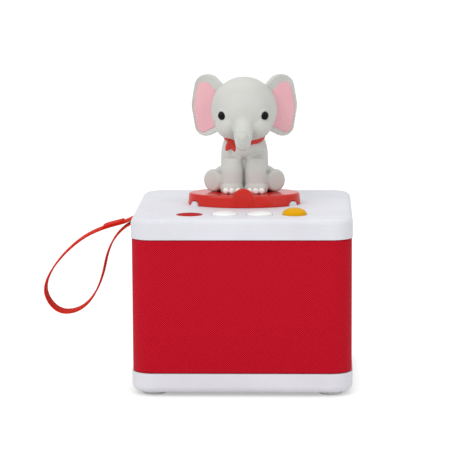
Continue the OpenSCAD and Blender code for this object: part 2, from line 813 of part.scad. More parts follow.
module reader_ribbon() color("white") {
    start = disc_back + 8;
    z_run = z_reader - ribbon_t;
    drop_y = 16;
    end = z_main + board_t;
    ribbon(14, 6, [[start, z_run], [start, z_reader], [drop_y + ribbon_t, z_reader],
        [drop_y + ribbon_t, end + ribbon_t], [drop_y + 3, end + ribbon_t], [drop_y + 3, end],
        [drop_y, end], [drop_y, z_run]]);
}

// Ring of a round tube that runs in the side view: centre [y, z], direction and radius there
function tube_ring(centre, ahead, r, sides) =
    let (across = [-ahead[1], ahead[0]] / norm(ahead))
    [for (k = [0:sides - 1]) let (turn = 360 * k / sides)
        [r * cos(turn), centre[0] + r * sin(turn) * across[0], centre[1] + r * sin(turn) * across[1]]];

// Closed tube through rings of points
module swept(rings) {
    n = len(rings[0]);
    last = len(rings) - 1;
    points = [for (ring = rings) each ring];
    walls = [for (j = [0:last - 1], k = [0:n - 1]) [j * n + k, j * n + (k + 1) % n,
        (j + 1) * n + (k + 1) % n, (j + 1) * n + k]];
    ends = [[for (k = [0:n - 1]) n - 1 - k], [for (k = [0:n - 1]) last * n + k]];
    polyhedron(points, concat(walls, ends));
}

lead_r = 0.6;
lead_sides = 8;
// Wire through hand-placed points [y, z], turned at each by the mean of its two directions
module lead(x, route) translate([x, 0, 0]) {
    last = len(route) - 1;
    swept([for (k = [0:last]) tube_ring(route[k],
        route[min(k + 1, last)] - route[max(k - 1, 0)], lead_r, lead_sides)]);
}

speaker_tag_drop = 14;
module speaker_leads() color("red") for (side = both) {
    tag_y = speaker_y + basket_depth - 4;
    high = speaker_z - speaker_tag_drop;
    low = z_main + board_t + lead_r;
    lead(24 * side, [[tag_y, high], [-4, high], [0, high - 1], [2, high - 4], [2, low + 8],
        [3, low + 4], [6, low + 1], [main_front + 2, low], [main_front + 6, low]]);
}

module battery_leads() color("black") for (side = both) {
    high = z_floor + 6;
    low = z_main + board_t + lead_r;
    lead(side * (cell_len / 2 + contact_gap + holder_wall + 2), [[cell_y, high],
        [cell_y + cell_r + 4, high], [main_front - 3, high - 1], [main_front + 1, low],
        [main_front + 5, low]]);
}

// ---- Figure ----

// Places a child at each notch in the disc's rim, with its z outwards and its y up
module at_notches() for (turn = [notch_turn, 180 - notch_turn, 180 + notch_turn, -notch_turn])
    translate([disc_a * sin(turn), disc_back - disc_b * cos(turn), z_lid])
        rotate([90, 0, atan2(disc_b * sin(turn), disc_a * cos(turn))]) children();

// Half-round keys on the lid, which the disc's notches drop over
module seat_keys() color("white") at_notches() translate([0, 0, -key_in])
    linear_extrude(key_in + key_out) intersection() {
        circle(notch_r - key_gap);
        translate([-notch_r, 0]) square([2 * notch_r, notch_r]);
    }

module figure_disc() color("tomato") difference() {
    union() {
        difference() {
            translate([0, disc_back, z_lid]) hull() {
                linear_extrude(0.1) oval(disc_a, disc_b);
                linear_extrude(disc_h - disc_round) oval(disc_a - disc_taper, disc_b - disc_taper);
                linear_extrude(disc_h)
                    oval(disc_a - disc_taper - disc_round, disc_b - disc_taper - disc_round);
            }
            translate([0, disc_back, z_lid - cut]) linear_extrude(disc_h - disc_top_t + cut)
                oval(disc_a - disc_wall - disc_taper, disc_b - disc_wall - disc_taper);
        }
        for (sx = both) translate([sx * figure_screw_x, disc_back, z_lid + plate_t])
            cylinder(r = small_boss_r + 0.6, h = disc_h - plate_t - disc_top_t + cut / 2);
        intersection() {
            translate([0, disc_back - disc_b - 0.6, z_disc + medallion_rise - medallion_r])
                rotate([-90, 0, 0]) cylinder(r = medallion_r, h = medallion_t);
            translate([-disc_a, -disc_b - 2 * medallion_t, z_lid + 0.3])
                cube([2 * disc_a, 2 * disc_b, 2 * disc_h]);
        }
    }
    at_notches() cylinder(r = notch_r, h = 2 * notch_depth, center = true);
    for (sx = both) translate([sx * figure_screw_x, disc_back, z_lid - cut])
        cylinder(r = small_screw_r + 0.2, h = disc_h + 2 * cut);
}

module disc_plate() color("firebrick") difference() {
    inset = disc_wall + disc_taper + 2.4;
    union() {
        translate([0, disc_back, z_lid]) linear_extrude(plate_t) oval(disc_a - inset, disc_b - inset);
        translate([0, disc_back, z_lid - spigot_h]) linear_extrude(spigot_h + plate_t / 2)
            oval(spigot_a, spigot_b);
    }
    for (sx = both) translate([sx * figure_screw_x, disc_back, z_lid - spigot_h - cut]) {
        cylinder(r = small_screw_r + 0.2, h = spigot_h + plate_t + 2 * cut);
        cylinder(r = small_head_r + 0.3, h = small_head_h + 0.2 + cut);
    }
}

module figure_screws() color("silver") for (sx = both)
    translate([sx * figure_screw_x, disc_back, z_lid - spigot_h + small_head_h + 0.2])
        screw(disc_h + 6, small_screw_r, small_head_r, small_head_h);

module figure_magnet() color("silver") translate([0, disc_back, z_lid + plate_t])
    cylinder(r = magnet_r, h = magnet_t);

module figure_tag() color("goldenrod") translate([0, disc_back, z_lid + plate_t]) difference() {
    linear_extrude(coil_t) oval(22, 10);
    translate([0, 0, -cut]) linear_extrude(coil_t + 2 * cut) oval(16, 7.5);
}

body_y = disc_back + 7;
body_h = 35;
body_r = 13.3;
head_y = disc_back + 2;
z_head = z_disc + head_rise;
leg_x = 6.6;
leg_y = disc_back - 1;
leg_r = 6.5;
leg_h = 22;
hind_x = 18.3;
hind_y = disc_back + 0.5;
hind_r = 6.3;
hind_len = 12;
hind_turn = 35;
haunch_r = 7.5;
nail_r = 1.5;
eye_r = 2.2;
eye_turn = 40;
eye_dip = 6;

// Barrel-shaped body, widest below its middle, with round shoulders under the head
function barrel_r(t) = body_r * sqrt(1 - pow(abs(t - 0.42) / 0.6, 3.2));
module body_form() translate([0, body_y, z_disc]) rotate_extrude($fn = 64)
    polygon(concat([[0, 0]], [for (k = [0:14]) [barrel_r(k / 14), body_h * k / 14]],
        [[0, body_h]]));

// Leg that widens into a round foot, upright on z = 0
module leg_form(r, h) rotate_extrude($fn = 48) polygon(concat([[0, 0]],
    [for (k = [0:6]) [r * (0.86 + 0.16 * sin(30 * k)), r * 0.1 * k]],
    [[r * 0.88, r], [r * 0.9, h * 0.6], [r * 0.72, h * 0.9], [0, h]]));

// Round nails, sunk into the front feet by most of their radius
module nail_balls() for (sx = both, turn = [-32, 0, 32])
    translate([sx * leg_x, leg_y, z_disc + nail_r + 0.3]) rotate(turn)
        translate([0, -leg_r + 0.4, 0]) sphere(r = nail_r, $fn = 64);

module elephant_body() color("lightgray") difference() {
    union() {
        body_form();
        for (sx = both) {
            translate([sx * leg_x, leg_y, z_disc]) leg_form(leg_r, leg_h);
            translate([sx * hind_x, hind_y, z_disc + hind_r]) rotate([-90, 0, sx * hind_turn]) {
                leg_form(hind_r, hind_len);
                translate([0, 0, hind_len]) sphere(haunch_r);
            }
        }
    }
    translate([-disc_a, -disc_b, z_disc - 10]) cube([2 * disc_a, 3 * disc_b, 10]);
    for (sx = both) translate([sx * figure_screw_x, disc_back, z_disc - cut])
        cylinder(r = small_pilot_r, h = 7 + cut);
    nail_balls();
}

module head_form() translate([0, head_y, z_head]) sphere(r = head_r, $fn = 64);

// Trunk: a round tube that narrows along a hanging curve and turns up at its tip
trunk_steps = 14;
trunk_sides = 12;
function trunk_point(t) = curve_point([-0.5 * head_r, -4], [-head_r - 10, -12], heading(-155),
    heading(118), 15, 13, t);
function trunk_size(t) = 6.4 - 3.4 * t;
module trunk_form() translate([0, head_y, z_head])
    swept([for (j = [0:trunk_steps]) let (t = j / trunk_steps)
        tube_ring(trunk_point(t), trunk_point(min(t + 0.02, 1)) - trunk_point(max(t - 0.02, 0)),
            trunk_size(t), trunk_sides)]);

module elephant_head() color("lightgray") difference() {
    union() {
        head_form();
        trunk_form();
    }
    body_form();
    eye_balls();
}

// Places a child at an ear's root, with x outwards and y backwards
ear_sweep = 22;
module at_ears() for (sx = both) translate([sx * (head_r - 4), head_y + 3, z_head + 1])
    mirror([sx > 0 ? 0 : 1, 0, 0]) rotate([0, 0, ear_sweep]) children();

// Round lobes that an ear is drawn over: place outwards and up from its root, and radius
ear_lobes = [[7.3, 10.7, 7.9], [5.9, 1, 9.9], [8.7, -9.6, 6.7], [0.5, 6, 7], [1, -7, 6]];
module ear_outline(grow) {
    for (lobe = ear_lobes) translate([lobe[0], lobe[1]]) circle(r = lobe[2] + grow, $fn = 32);
}
ear_t = 4;
ear_rim = 2.4;
module ear_form() rotate([90, 0, 0]) hull() {
    linear_extrude(ear_t / 2, center = true) ear_outline(0);
    linear_extrude(ear_t, center = true) ear_outline(-1.2);
}

module elephant_ears() color("lightgray") difference() {
    at_ears() difference() {
        ear_form();
        translate([0, -ear_t / 2, 0]) rotate([90, 0, 0]) linear_extrude(1.2, center = true)
            hull() ear_outline(-ear_rim);
    }
    head_form();
}

module ear_linings() color("pink") difference() {
    at_ears() translate([0, -ear_t / 2 + 0.1, 0]) rotate([90, 0, 0])
        linear_extrude(1, center = true) hull() ear_outline(-ear_rim);
    head_form();
}

// Beads, sunk into the head by most of their radius
module eye_balls() for (sx = both) translate([0, head_y, z_head])
    rotate([eye_dip, 0, sx * eye_turn]) translate([0, -head_r + 0.9, 0])
        sphere(r = eye_r, $fn = 96);
module elephant_eyes() color("black") eye_balls();

module elephant_toenails() color("ivory") nail_balls();

tail_steps = 8;
tail_sides = 8;
function tail_point(t) = curve_point([body_r - 1.2, 9], [body_r + 0.8, 2.5], heading(20),
    heading(-110), 3, 4, t);
module elephant_tail() color("lightgray") difference() {
    translate([0, body_y, z_disc]) swept([for (j = [0:tail_steps]) let (t = j / tail_steps)
        tube_ring(tail_point(t), tail_point(min(t + 0.02, 1)) - tail_point(max(t - 0.02, 0)),
            1.1 + 0.4 * t, tail_sides)]);
    body_form();
}

scarf_drop = 4.1;
scarf_r = 9.8;
scarf_t = 4;
scarf_tilt = 13;
module neckerchief() color("crimson") difference() {
    translate([0, body_y - 1.7, z_disc + body_h - scarf_drop]) rotate([scarf_tilt, 0, 0])
        rotate_extrude($fn = 48) translate([scarf_r, 0]) circle(r = scarf_t / 2, $fn = 24);
    body_form();
    head_form();
}

top_cover();
base_cover();
grille_frame();
fabric_sleeve();
rubber_feet();
base_screws();
cover_screws();
strap_pin();
strap();
power_button();
volume_down_button();
volume_up_button();
play_button();
power_plunger();
volume_down_plunger();
volume_up_plunger();
play_plunger();
tact_switches();
button_board();
board_screws();
reader_board();
antenna_coil();
reader_screws();
seat_magnet();
main_board();
main_board_screws();
board_chips();
board_capacitors();
usb_socket();
headphone_jack();
speaker_basket();
speaker_surround();
speaker_cone();
dust_cap();
voice_coil();
speaker_top_plate();
speaker_magnet();
speaker_yoke();
speaker_screws();
battery_cell();
battery_holder();
battery_contacts();
button_ribbon();
reader_ribbon();
speaker_leads();
battery_leads();
seat_keys();
figure_disc();
disc_plate();
figure_screws();
figure_magnet();
figure_tag();
elephant_body();
elephant_head();
elephant_ears();
ear_linings();
elephant_eyes();
elephant_toenails();
elephant_tail();
neckerchief();
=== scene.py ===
"""Audio story player with a lift-off toy elephant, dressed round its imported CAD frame."""

import json
import logging
from contextlib import contextmanager
from dataclasses import dataclass, field
from enum import Enum
from math import atan2, copysign, cos, pi, radians, sin, sqrt
from typing import Any, Callable, Iterable, Iterator, Sequence

import bpy
from mathutils import Matrix, Vector

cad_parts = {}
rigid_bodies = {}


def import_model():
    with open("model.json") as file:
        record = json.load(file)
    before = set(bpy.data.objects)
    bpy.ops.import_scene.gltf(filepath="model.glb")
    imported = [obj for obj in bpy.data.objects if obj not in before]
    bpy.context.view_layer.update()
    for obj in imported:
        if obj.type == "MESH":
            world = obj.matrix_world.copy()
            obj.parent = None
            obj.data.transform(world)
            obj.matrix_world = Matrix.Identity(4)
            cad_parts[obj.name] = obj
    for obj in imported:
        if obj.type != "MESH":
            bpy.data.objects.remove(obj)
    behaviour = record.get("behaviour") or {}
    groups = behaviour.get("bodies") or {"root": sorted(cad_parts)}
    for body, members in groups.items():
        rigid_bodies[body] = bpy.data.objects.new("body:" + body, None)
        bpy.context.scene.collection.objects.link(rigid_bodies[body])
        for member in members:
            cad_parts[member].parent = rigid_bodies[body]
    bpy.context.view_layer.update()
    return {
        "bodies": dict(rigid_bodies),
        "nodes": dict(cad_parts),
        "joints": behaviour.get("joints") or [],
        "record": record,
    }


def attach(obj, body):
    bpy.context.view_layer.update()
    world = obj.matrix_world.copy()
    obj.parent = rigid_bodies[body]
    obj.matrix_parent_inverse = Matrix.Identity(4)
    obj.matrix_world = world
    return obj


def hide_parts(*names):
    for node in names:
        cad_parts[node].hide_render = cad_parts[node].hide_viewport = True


MM = 0.001
log = logging.getLogger("player")

# How far, in millimetres, a cutting tool runs past the face that it opens
PAST = 1

Piece = bpy.types.Object
Tree = bpy.types.NodeTree
Node = bpy.types.Node
Socket = bpy.types.NodeSocket
Pair = tuple[float, float]
Triple = tuple[float, float, float]
Test = Callable[[Vector, Vector], bool]


class Pick(Enum):
    """What a selection in edit mode is made of."""

    POINTS = "VERT"
    EDGES = "EDGE"
    FACES = "FACE"


class Axis(Enum):
    """Direction of a turned or round piece's axis, as the turn that takes +Z to it."""

    UP = Matrix.Identity(4)
    BACK = Matrix.Rotation(-pi / 2, 4, "X")


class Cut(Enum):
    """How one closed piece is combined with another."""

    AWAY = "DIFFERENCE"
    JOINED = "UNION"


# ---- Modelling tools. Lengths are in millimetres. ----


def mm(*values: float) -> Vector:
    """Turns millimetres to a vector in metres."""
    return Vector(values) * MM


def only(piece: Piece) -> Piece:
    """Makes a piece the only selected object, and the active one.

    Args:
        piece: The piece.

    Returns:
        The same piece.
    """
    bpy.ops.object.select_all(action="DESELECT")
    piece.select_set(True)
    bpy.context.view_layer.objects.active = piece
    return piece


def start(name: str, primitive: Callable, **place: Any) -> Piece:
    """Adds a primitive as the start of a piece.

    Args:
        name: The new piece's name.
        primitive: The operator that adds it.
        place: The operator's own settings.

    Returns:
        The new object, with its place applied to its mesh.
    """
    bpy.ops.object.select_all(action="DESELECT")
    primitive(**place)
    piece = bpy.context.object
    piece.name = piece.data.name = name
    return settle(piece)


def shift(x: float, y: float, z: float) -> Matrix:
    """Returns a move in the shared frame."""
    return Matrix.Translation(mm(x, y, z))


def settle(piece: Piece, move: Matrix | None = None) -> Piece:
    """Applies a piece's place to its mesh, after one more move.

    Args:
        piece: The piece.
        move: A move in metres in the shared frame.

    Returns:
        The piece, with its object at the origin.
    """
    if move is not None:
        piece.matrix_world = move @ piece.matrix_world
    only(piece)
    bpy.ops.object.transform_apply(location=True, rotation=True, scale=True)
    return piece


@contextmanager
def editing(piece: Piece) -> Iterator[None]:
    """Opens a piece in edit mode with all of it selected.

    Args:
        piece: The piece.
    """
    only(piece)
    bpy.ops.object.mode_set(mode="EDIT")
    bpy.ops.mesh.select_all(action="SELECT")
    try:
        yield
    finally:
        bpy.ops.object.mode_set(mode="OBJECT")


def pick(piece: Piece, kind: Pick, test: Test) -> None:
    """Selects parts of a mesh that is open in edit mode.

    Args:
        piece: The piece being edited.
        kind: Points, edges or faces.
        test: Gets a part's middle in metres and its direction: an edge's run or a normal.
    """
    bpy.ops.mesh.select_mode(type=kind.value)
    bpy.ops.mesh.select_all(action="DESELECT")
    bpy.ops.object.mode_set(mode="OBJECT")
    mesh = piece.data
    if kind is Pick.FACES:
        for face in mesh.polygons:
            face.select = test(face.center, face.normal)
    elif kind is Pick.EDGES:
        for edge in mesh.edges:
            a, b = (mesh.vertices[i].co for i in edge.vertices)
            edge.select = test((a + b) / 2, (b - a).normalized())
    else:
        for point in mesh.vertices:
            point.select = test(point.co, point.normal)
    bpy.ops.object.mode_set(mode="EDIT")


def soften(piece: Piece, test: Test, radius: float, steps: int) -> None:
    """Rounds those edges of a piece in edit mode that pass a test."""
    pick(piece, Pick.EDGES, test)
    bpy.ops.mesh.bevel(offset=radius * MM, segments=steps, affect="EDGES")


def copied(piece: Piece) -> Piece:
    """Copies a piece with a mesh of its own.

    Args:
        piece: The piece.

    Returns:
        The copy.
    """
    other = piece.copy()
    other.data = piece.data.copy()
    bpy.context.collection.objects.link(other)
    return other


def modify(piece: Piece, kind: str, **settings: Any) -> Piece:
    """Adds a modifier to a piece and applies it.

    Args:
        piece: The piece.
        kind: The modifier's type.
        settings: The modifier's own settings.

    Returns:
        The piece.
    """
    only(piece)
    modifier = piece.modifiers.new(kind.title(), kind)
    for name, value in settings.items():
        setattr(modifier, name, value)
    bpy.ops.object.modifier_apply(modifier=modifier.name)
    return piece


def carve(piece: Piece, tools: Iterable[Piece], how: Cut = Cut.AWAY) -> Piece:
    """Cuts closed pieces out of a piece, or joins them to it, and uses them up.

    Args:
        piece: The piece that stays.
        tools: Closed pieces.
        how: Whether they cut or join.

    Returns:
        The piece.
    """
    for tool in tools:
        modify(piece, "BOOLEAN", object=tool, operation=how.value, solver="EXACT")
        bpy.data.objects.remove(tool)
    return piece


def joined(name: str, pieces: Sequence[Piece]) -> Piece:
    """Joins pieces to one object without cutting them.

    Args:
        name: The object's name.
        pieces: The pieces.

    Returns:
        The object.
    """
    only(pieces[0])
    for piece in pieces:
        piece.select_set(True)
    if len(pieces) > 1:
        bpy.ops.object.join()
    pieces[0].name = pieces[0].data.name = name
    return pieces[0]


def melted(name: str, pieces: Sequence[Piece], voxel: float, passes: int) -> Piece:
    """Joins overlapping closed forms to one smooth skin, as a sculptor blends clay.

    Args:
        name: The new piece's name.
        pieces: Closed forms that overlap.
        voxel: Size of the new skin's faces.
        passes: How often the skin is smoothed.

    Returns:
        The blended piece.
    """
    skin = joined(name, pieces)
    modify(skin, "REMESH", mode="VOXEL", voxel_size=voxel * MM)
    modify(skin, "SMOOTH", factor=0.5, iterations=passes)
    return rounded_shading(skin, 180)


def rounded_shading(piece: Piece, angle: float = 40) -> Piece:
    """Shades a piece smooth, except at edges sharper than an angle in degrees.

    Args:
        piece: The piece.
        angle: The angle.

    Returns:
        The piece.
    """
    only(piece)
    bpy.ops.object.shade_smooth_by_angle(angle=radians(angle))
    return piece


def filleted(piece: Piece, radius: float, steps: int = 2, angle: float = 35) -> Piece:
    """Rounds a piece's sharp edges a little, as a mould does, and evens its shading.

    Args:
        piece: The piece.
        radius: Radius of the rounding.
        steps: Faces across it.
        angle: Sharpness, in degrees, from which an edge is rounded.

    Returns:
        The piece.
    """
    modify(
        piece,
        "BEVEL",
        width=radius * MM,
        segments=steps,
        limit_method="ANGLE",
        angle_limit=radians(angle),
        miter_outer="MITER_ARC",
    )
    rounded_shading(piece, 50)
    return modify(piece, "WEIGHTED_NORMAL", keep_sharp=True)


def closed_up(piece: Piece) -> Piece:
    """Merges doubled points and turns every face outwards.

    Args:
        piece: The piece.

    Returns:
        The piece.
    """
    with editing(piece):
        bpy.ops.mesh.remove_doubles(threshold=0.001 * MM)
        bpy.ops.mesh.normals_make_consistent(inside=False)
    return piece


def turned(
    name: str,
    profile: Sequence[Pair],
    centre: Vector,
    axis: Axis = Axis.UP,
    steps: int = 64,
) -> Piece:
    """Draws a profile by extruding a point, and spins it round an axis.

    Args:
        name: The new piece's name.
        profile: Radius and height of each point, in order.
        centre: Where the axis starts, in metres.
        axis: Direction of the axis.
        steps: Faces round the piece.

    Returns:
        The closed, turned piece.
    """
    piece = start(name, bpy.ops.mesh.primitive_plane_add, size=2 * MM)
    with editing(piece):
        first = piece.data.vertices[0].co.copy()
        pick(piece, Pick.POINTS, lambda at, _: (at - first).length > 1e-9)
        bpy.ops.mesh.delete(type="VERT")
        bpy.ops.mesh.select_all(action="SELECT")
        here = mm(profile[0][0], 0, profile[0][1])
        bpy.ops.transform.translate(value=here - first)
        for radius, height in profile[1:]:
            there = mm(radius, 0, height)
            bpy.ops.mesh.extrude_region_move(TRANSFORM_OT_translate={"value": there - here})
            here = there
        bpy.ops.mesh.select_all(action="SELECT")
        bpy.ops.mesh.spin(
            steps=steps, angle=2 * pi, center=(0, 0, 0), axis=(0, 0, 1), use_auto_merge=True
        )
    closed_up(piece)
    settle(piece, Matrix.Translation(centre) @ axis.value)
    return rounded_shading(piece)


def drum(
    name: str, radius: float, low: float, high: float, centre: Vector, axis: Axis = Axis.UP
) -> Piece:
    """Adds a plain round solid along an axis, used to cut or to build on.

    Args:
        name: The new piece's name.
        radius: Its radius.
        low: Where it starts along the axis.
        high: Where it ends.
        centre: The axis's zero point, in metres.
        axis: Direction of the axis.

    Returns:
        The solid.
    """
    piece = start(
        name,
        bpy.ops.mesh.primitive_cylinder_add,
        vertices=64,
        radius=radius * MM,
        depth=(high - low) * MM,
        location=mm(0, 0, (low + high) / 2),
    )
    return settle(piece, Matrix.Translation(centre) @ axis.value)


def oval_drum(name: str, half_x: float, half_y: float, low: float, high: float, y: float) -> Piece:
    """Adds an upright oval solid round the point (0, y)."""
    oval = Matrix.Diagonal((half_x, half_y, 1, 1))
    return settle(drum(name, 1, low, high, Vector()), shift(0, y, 0) @ oval)


def ball(name: str, radius: float, at: Vector, stretch: Sequence[float] = (1, 1, 1)) -> Piece:
    """Adds a ball or an egg of small faces.

    Args:
        name: The new piece's name.
        radius: Its radius.
        at: Its middle, in metres.
        stretch: Its size along X, Y and Z, in radii.

    Returns:
        The ball.
    """
    add = bpy.ops.mesh.primitive_uv_sphere_add
    piece = start(name, add, segments=48, ring_count=24, radius=radius * MM)
    return settle(piece, Matrix.Translation(at) @ Matrix.Diagonal((*stretch, 1)))


def box(name: str, low: Sequence[float], high: Sequence[float]) -> Piece:
    """Adds a block between two corners.

    Args:
        name: The new piece's name.
        low: Its lowest corner.
        high: Its highest corner.

    Returns:
        The block.
    """
    lower, upper = mm(*low), mm(*high)
    piece = start(name, bpy.ops.mesh.primitive_cube_add, size=1)
    size = Matrix.Diagonal((*(upper - lower), 1))
    return settle(piece, Matrix.Translation((lower + upper) / 2) @ size)


def soft_box(
    name: str,
    half: float,
    low: float,
    high: float,
    corner: float,
    low_edge: float = 0,
    high_edge: float = 0,
) -> Piece:
    """Adds a square upright block with round corners and rounded rims.

    Args:
        name: The new piece's name.
        half: Half its width.
        low: Height of its underside.
        high: Height of its top.
        corner: Radius of its upright corners.
        low_edge: Radius of its lower rim.
        high_edge: Radius of its upper rim.

    Returns:
        The block.
    """
    piece = box(name, (-half, -half, low), (half, half, high))
    with editing(piece):
        soften(piece, lambda _, run: abs(run.z) > 0.9, corner, 16)
        for height, edge in ((low, low_edge), (high, high_edge)):
            z = height * MM
            if edge:
                soften(piece, lambda at, run: abs(run.z) < 0.1 and abs(at.z - z) < 1e-6, edge, 8)
    return piece


def drawn(
    name: str,
    route: Sequence[Vector],
    closed: bool,
    widths: Sequence[float] | None = None,
    **section: Any,
) -> Piece:
    """Draws a curve with a section and makes it a mesh.

    Args:
        name: The new piece's name.
        route: Points of the curve, in metres.
        closed: Whether the curve ends where it starts.
        widths: Share of the section's size at each point.
        section: The curve's own settings.

    Returns:
        The mesh, its ends closed by caps.
    """
    bpy.ops.object.select_all(action="DESELECT")
    bpy.ops.curve.primitive_nurbs_path_add(location=(0, 0, 0))
    line = bpy.context.object
    curve = line.data
    for key, value in section.items():
        setattr(curve, key, value)
    curve.splines.clear()
    spline = curve.splines.new("POLY")
    spline.points.add(len(route) - 1)
    for k, at in enumerate(route):
        spline.points[k].co = (*at, 1)
        spline.points[k].radius = widths[k] if widths else 1
    spline.use_cyclic_u = closed
    curve.use_fill_caps = True
    only(line)
    bpy.ops.object.convert(target="MESH")
    piece = bpy.context.object
    piece.name = piece.data.name = name
    return piece


def tube(
    name: str,
    route: Sequence[Vector],
    radius: float,
    widths: Sequence[float] | None = None,
    closed: bool = False,
) -> Piece:
    """Makes a round tube along a curve, with a share of its radius at each point."""
    size = radius * MM
    return closed_up(drawn(name, route, closed, widths, bevel_depth=size, bevel_resolution=6))


# ---- Finishes ----


def linear(code: str) -> tuple[float, float, float, float]:
    """Turns an sRGB hex colour to the linear values that a shader takes.

    Args:
        code: The colour, such as #FFFFFF.

    Returns:
        Red, green, blue and alpha.
    """
    parts = [int(code[k : k + 2], 16) / 255 for k in (1, 3, 5)]
    r, g, b = (p / 12.92 if p <= 0.04045 else ((p + 0.055) / 1.055) ** 2.4 for p in parts)
    return (r, g, b, 1.0)


def add_node(
    tree: Tree,
    kind: str,
    inputs: dict[str | int, Any] | None = None,
    stops: Sequence[tuple[float, str]] = (),
    **settings: Any,
) -> Node:
    """Adds a node with its settings and links.

    Args:
        tree: The material's node tree.
        kind: The node's type, without the word ShaderNode before it.
        inputs: A value, or a socket to link, for each input.
        stops: Places and colours of a colour ramp.
        settings: The node's own properties.

    Returns:
        The node.
    """
    node = tree.nodes.new(f"ShaderNode{kind}")
    for name, value in settings.items():
        setattr(node, name, value)
    for name, value in (inputs or {}).items():
        if isinstance(value, Socket):
            tree.links.new(value, node.inputs[name])
        else:
            node.inputs[name].default_value = value
    for k, (place, code) in enumerate(stops):
        ramp = node.color_ramp.elements
        stop = ramp[k] if k < 2 else ramp.new(place)
        stop.position, stop.color = place, linear(code)
    return node


def math_step(tree: Tree, operation: str, *values: Any) -> Socket:
    """Adds one step of arithmetic and returns its result."""
    inputs = dict(enumerate(values))
    return add_node(tree, "Math", inputs, operation=operation).outputs[0]


def noise(tree: Tree, place: Socket, size: float, detail: float) -> Socket:
    """Adds a cloudy noise whose spots have a size in millimetres, and returns its strength."""
    inputs = {"Vector": place, "Scale": 1 / (size * MM), "Detail": detail}
    return add_node(tree, "TexNoise", inputs).outputs["Fac"]


def object_place(tree: Tree) -> Socket:
    """Returns the place on the object, in metres."""
    return add_node(tree, "TexCoord").outputs["Object"]


@dataclass(frozen=True)
class Finish:
    """A surface of one real material.

    Attributes:
        name: The material and how its surface was made.
        dark: sRGB colour where the surface is darkest.
        light: sRGB colour where it is lightest.
        roughness: Roughness of the bare surface.
    """

    name: str
    dark: str
    light: str
    roughness: float

    def build(self) -> bpy.types.Material:
        """Returns the material, made on its first use.

        Returns:
            The material.
        """
        material = bpy.data.materials.get(self.name)
        if material is None:
            material = bpy.data.materials.new(self.name)
            material.use_nodes = True
            tree = material.node_tree
            shader = tree.nodes["Principled BSDF"]
            self.settle_inputs(shader, {"Roughness": self.roughness})
            self.dress(tree, shader)
        return material

    def settle_inputs(self, shader: Node, values: dict[str, Any]) -> None:
        """Sets the shader's uniform values."""
        for name, value in values.items():
            shader.inputs[name].default_value = value

    def paint(self, shader: Node, pattern: Socket, low: float, high: float) -> None:
        """Colours the surface from dark, where a pattern is low, to light, where it is high.

        Args:
            shader: The material's shader.
            pattern: The pattern.
            low: Its value that is dark.
            high: Its value that is light.
        """
        stops = [(low, self.dark), (high, self.light)]
        ramp = add_node(shader.id_data, "ValToRGB", {"Fac": pattern}, stops)
        shader.id_data.links.new(ramp.outputs["Color"], shader.inputs["Base Color"])

    def polish(self, shader: Node, pattern: Socket, low: float, high: float) -> None:
        """Varies the roughness along a pattern, between two shares of the bare surface's.

        Args:
            shader: The material's shader.
            pattern: The pattern.
            low: Share where it is 0.
            high: Share where it is 1.
        """
        span = {"Value": pattern, "To Min": self.roughness * low, "To Max": self.roughness * high}
        gloss = add_node(shader.id_data, "MapRange", span)
        shader.id_data.links.new(gloss.outputs["Result"], shader.inputs["Roughness"])

    def emboss(self, shader: Node, pattern: Socket, strength: float, depth: float) -> None:
        """Raises the surface along a pattern, by a depth in millimetres.

        Args:
            shader: The material's shader.
            pattern: The pattern.
            strength: How strongly it shows.
            depth: The depth.
        """
        inputs = {"Height": pattern, "Strength": strength, "Distance": depth * MM}
        bump = add_node(shader.id_data, "Bump", inputs)
        shader.id_data.links.new(bump.outputs["Normal"], shader.inputs["Normal"])

    def dress(self, tree: Tree, shader: Node) -> None:
        """Draws the surface's pattern. Each kind of finish has its own."""
        raise NotImplementedError


@dataclass(frozen=True)
class Moulded(Finish):
    """Moulded plastic or rubber: an even colour over a fine grain left by the mould.

    Attributes:
        grain: Size of the grain.
        depth: Depth of the grain.
        coat: Weight of the clear gloss that a polished mould leaves.
        milky: Weight of the light that enters a soft, thick plastic.
        shine: Strength of the surface's own reflection.
        flow: Size of the flow marks.
    """

    grain: float = 0.5
    depth: float = 0.004
    coat: float = 0.0
    milky: float = 0.0
    shine: float = 0.35
    flow: float = 22

    def dress(self, tree: Tree, shader: Node) -> None:
        """Draws flow marks in the colour and roughness, and the grain as a bump.

        Args:
            tree: The material's node tree.
            shader: The shader that it ends in.
        """
        place = object_place(tree)
        marks = noise(tree, place, self.flow, 3.0)
        self.paint(shader, marks, 0.3, 0.7)
        self.polish(shader, marks, 0.92, 1.1)
        self.emboss(shader, noise(tree, place, self.grain, 2.0), 0.6, self.depth)
        values = {"Specular IOR Level": self.shine, "Coat Weight": self.coat}
        values["Coat Roughness"] = 0.08
        if self.milky:
            values |= {"Subsurface Weight": self.milky, "Subsurface Scale": 1.2 * MM}
            values["Subsurface Radius"] = (1.0, 0.6, 0.5)
        self.settle_inputs(shader, values)


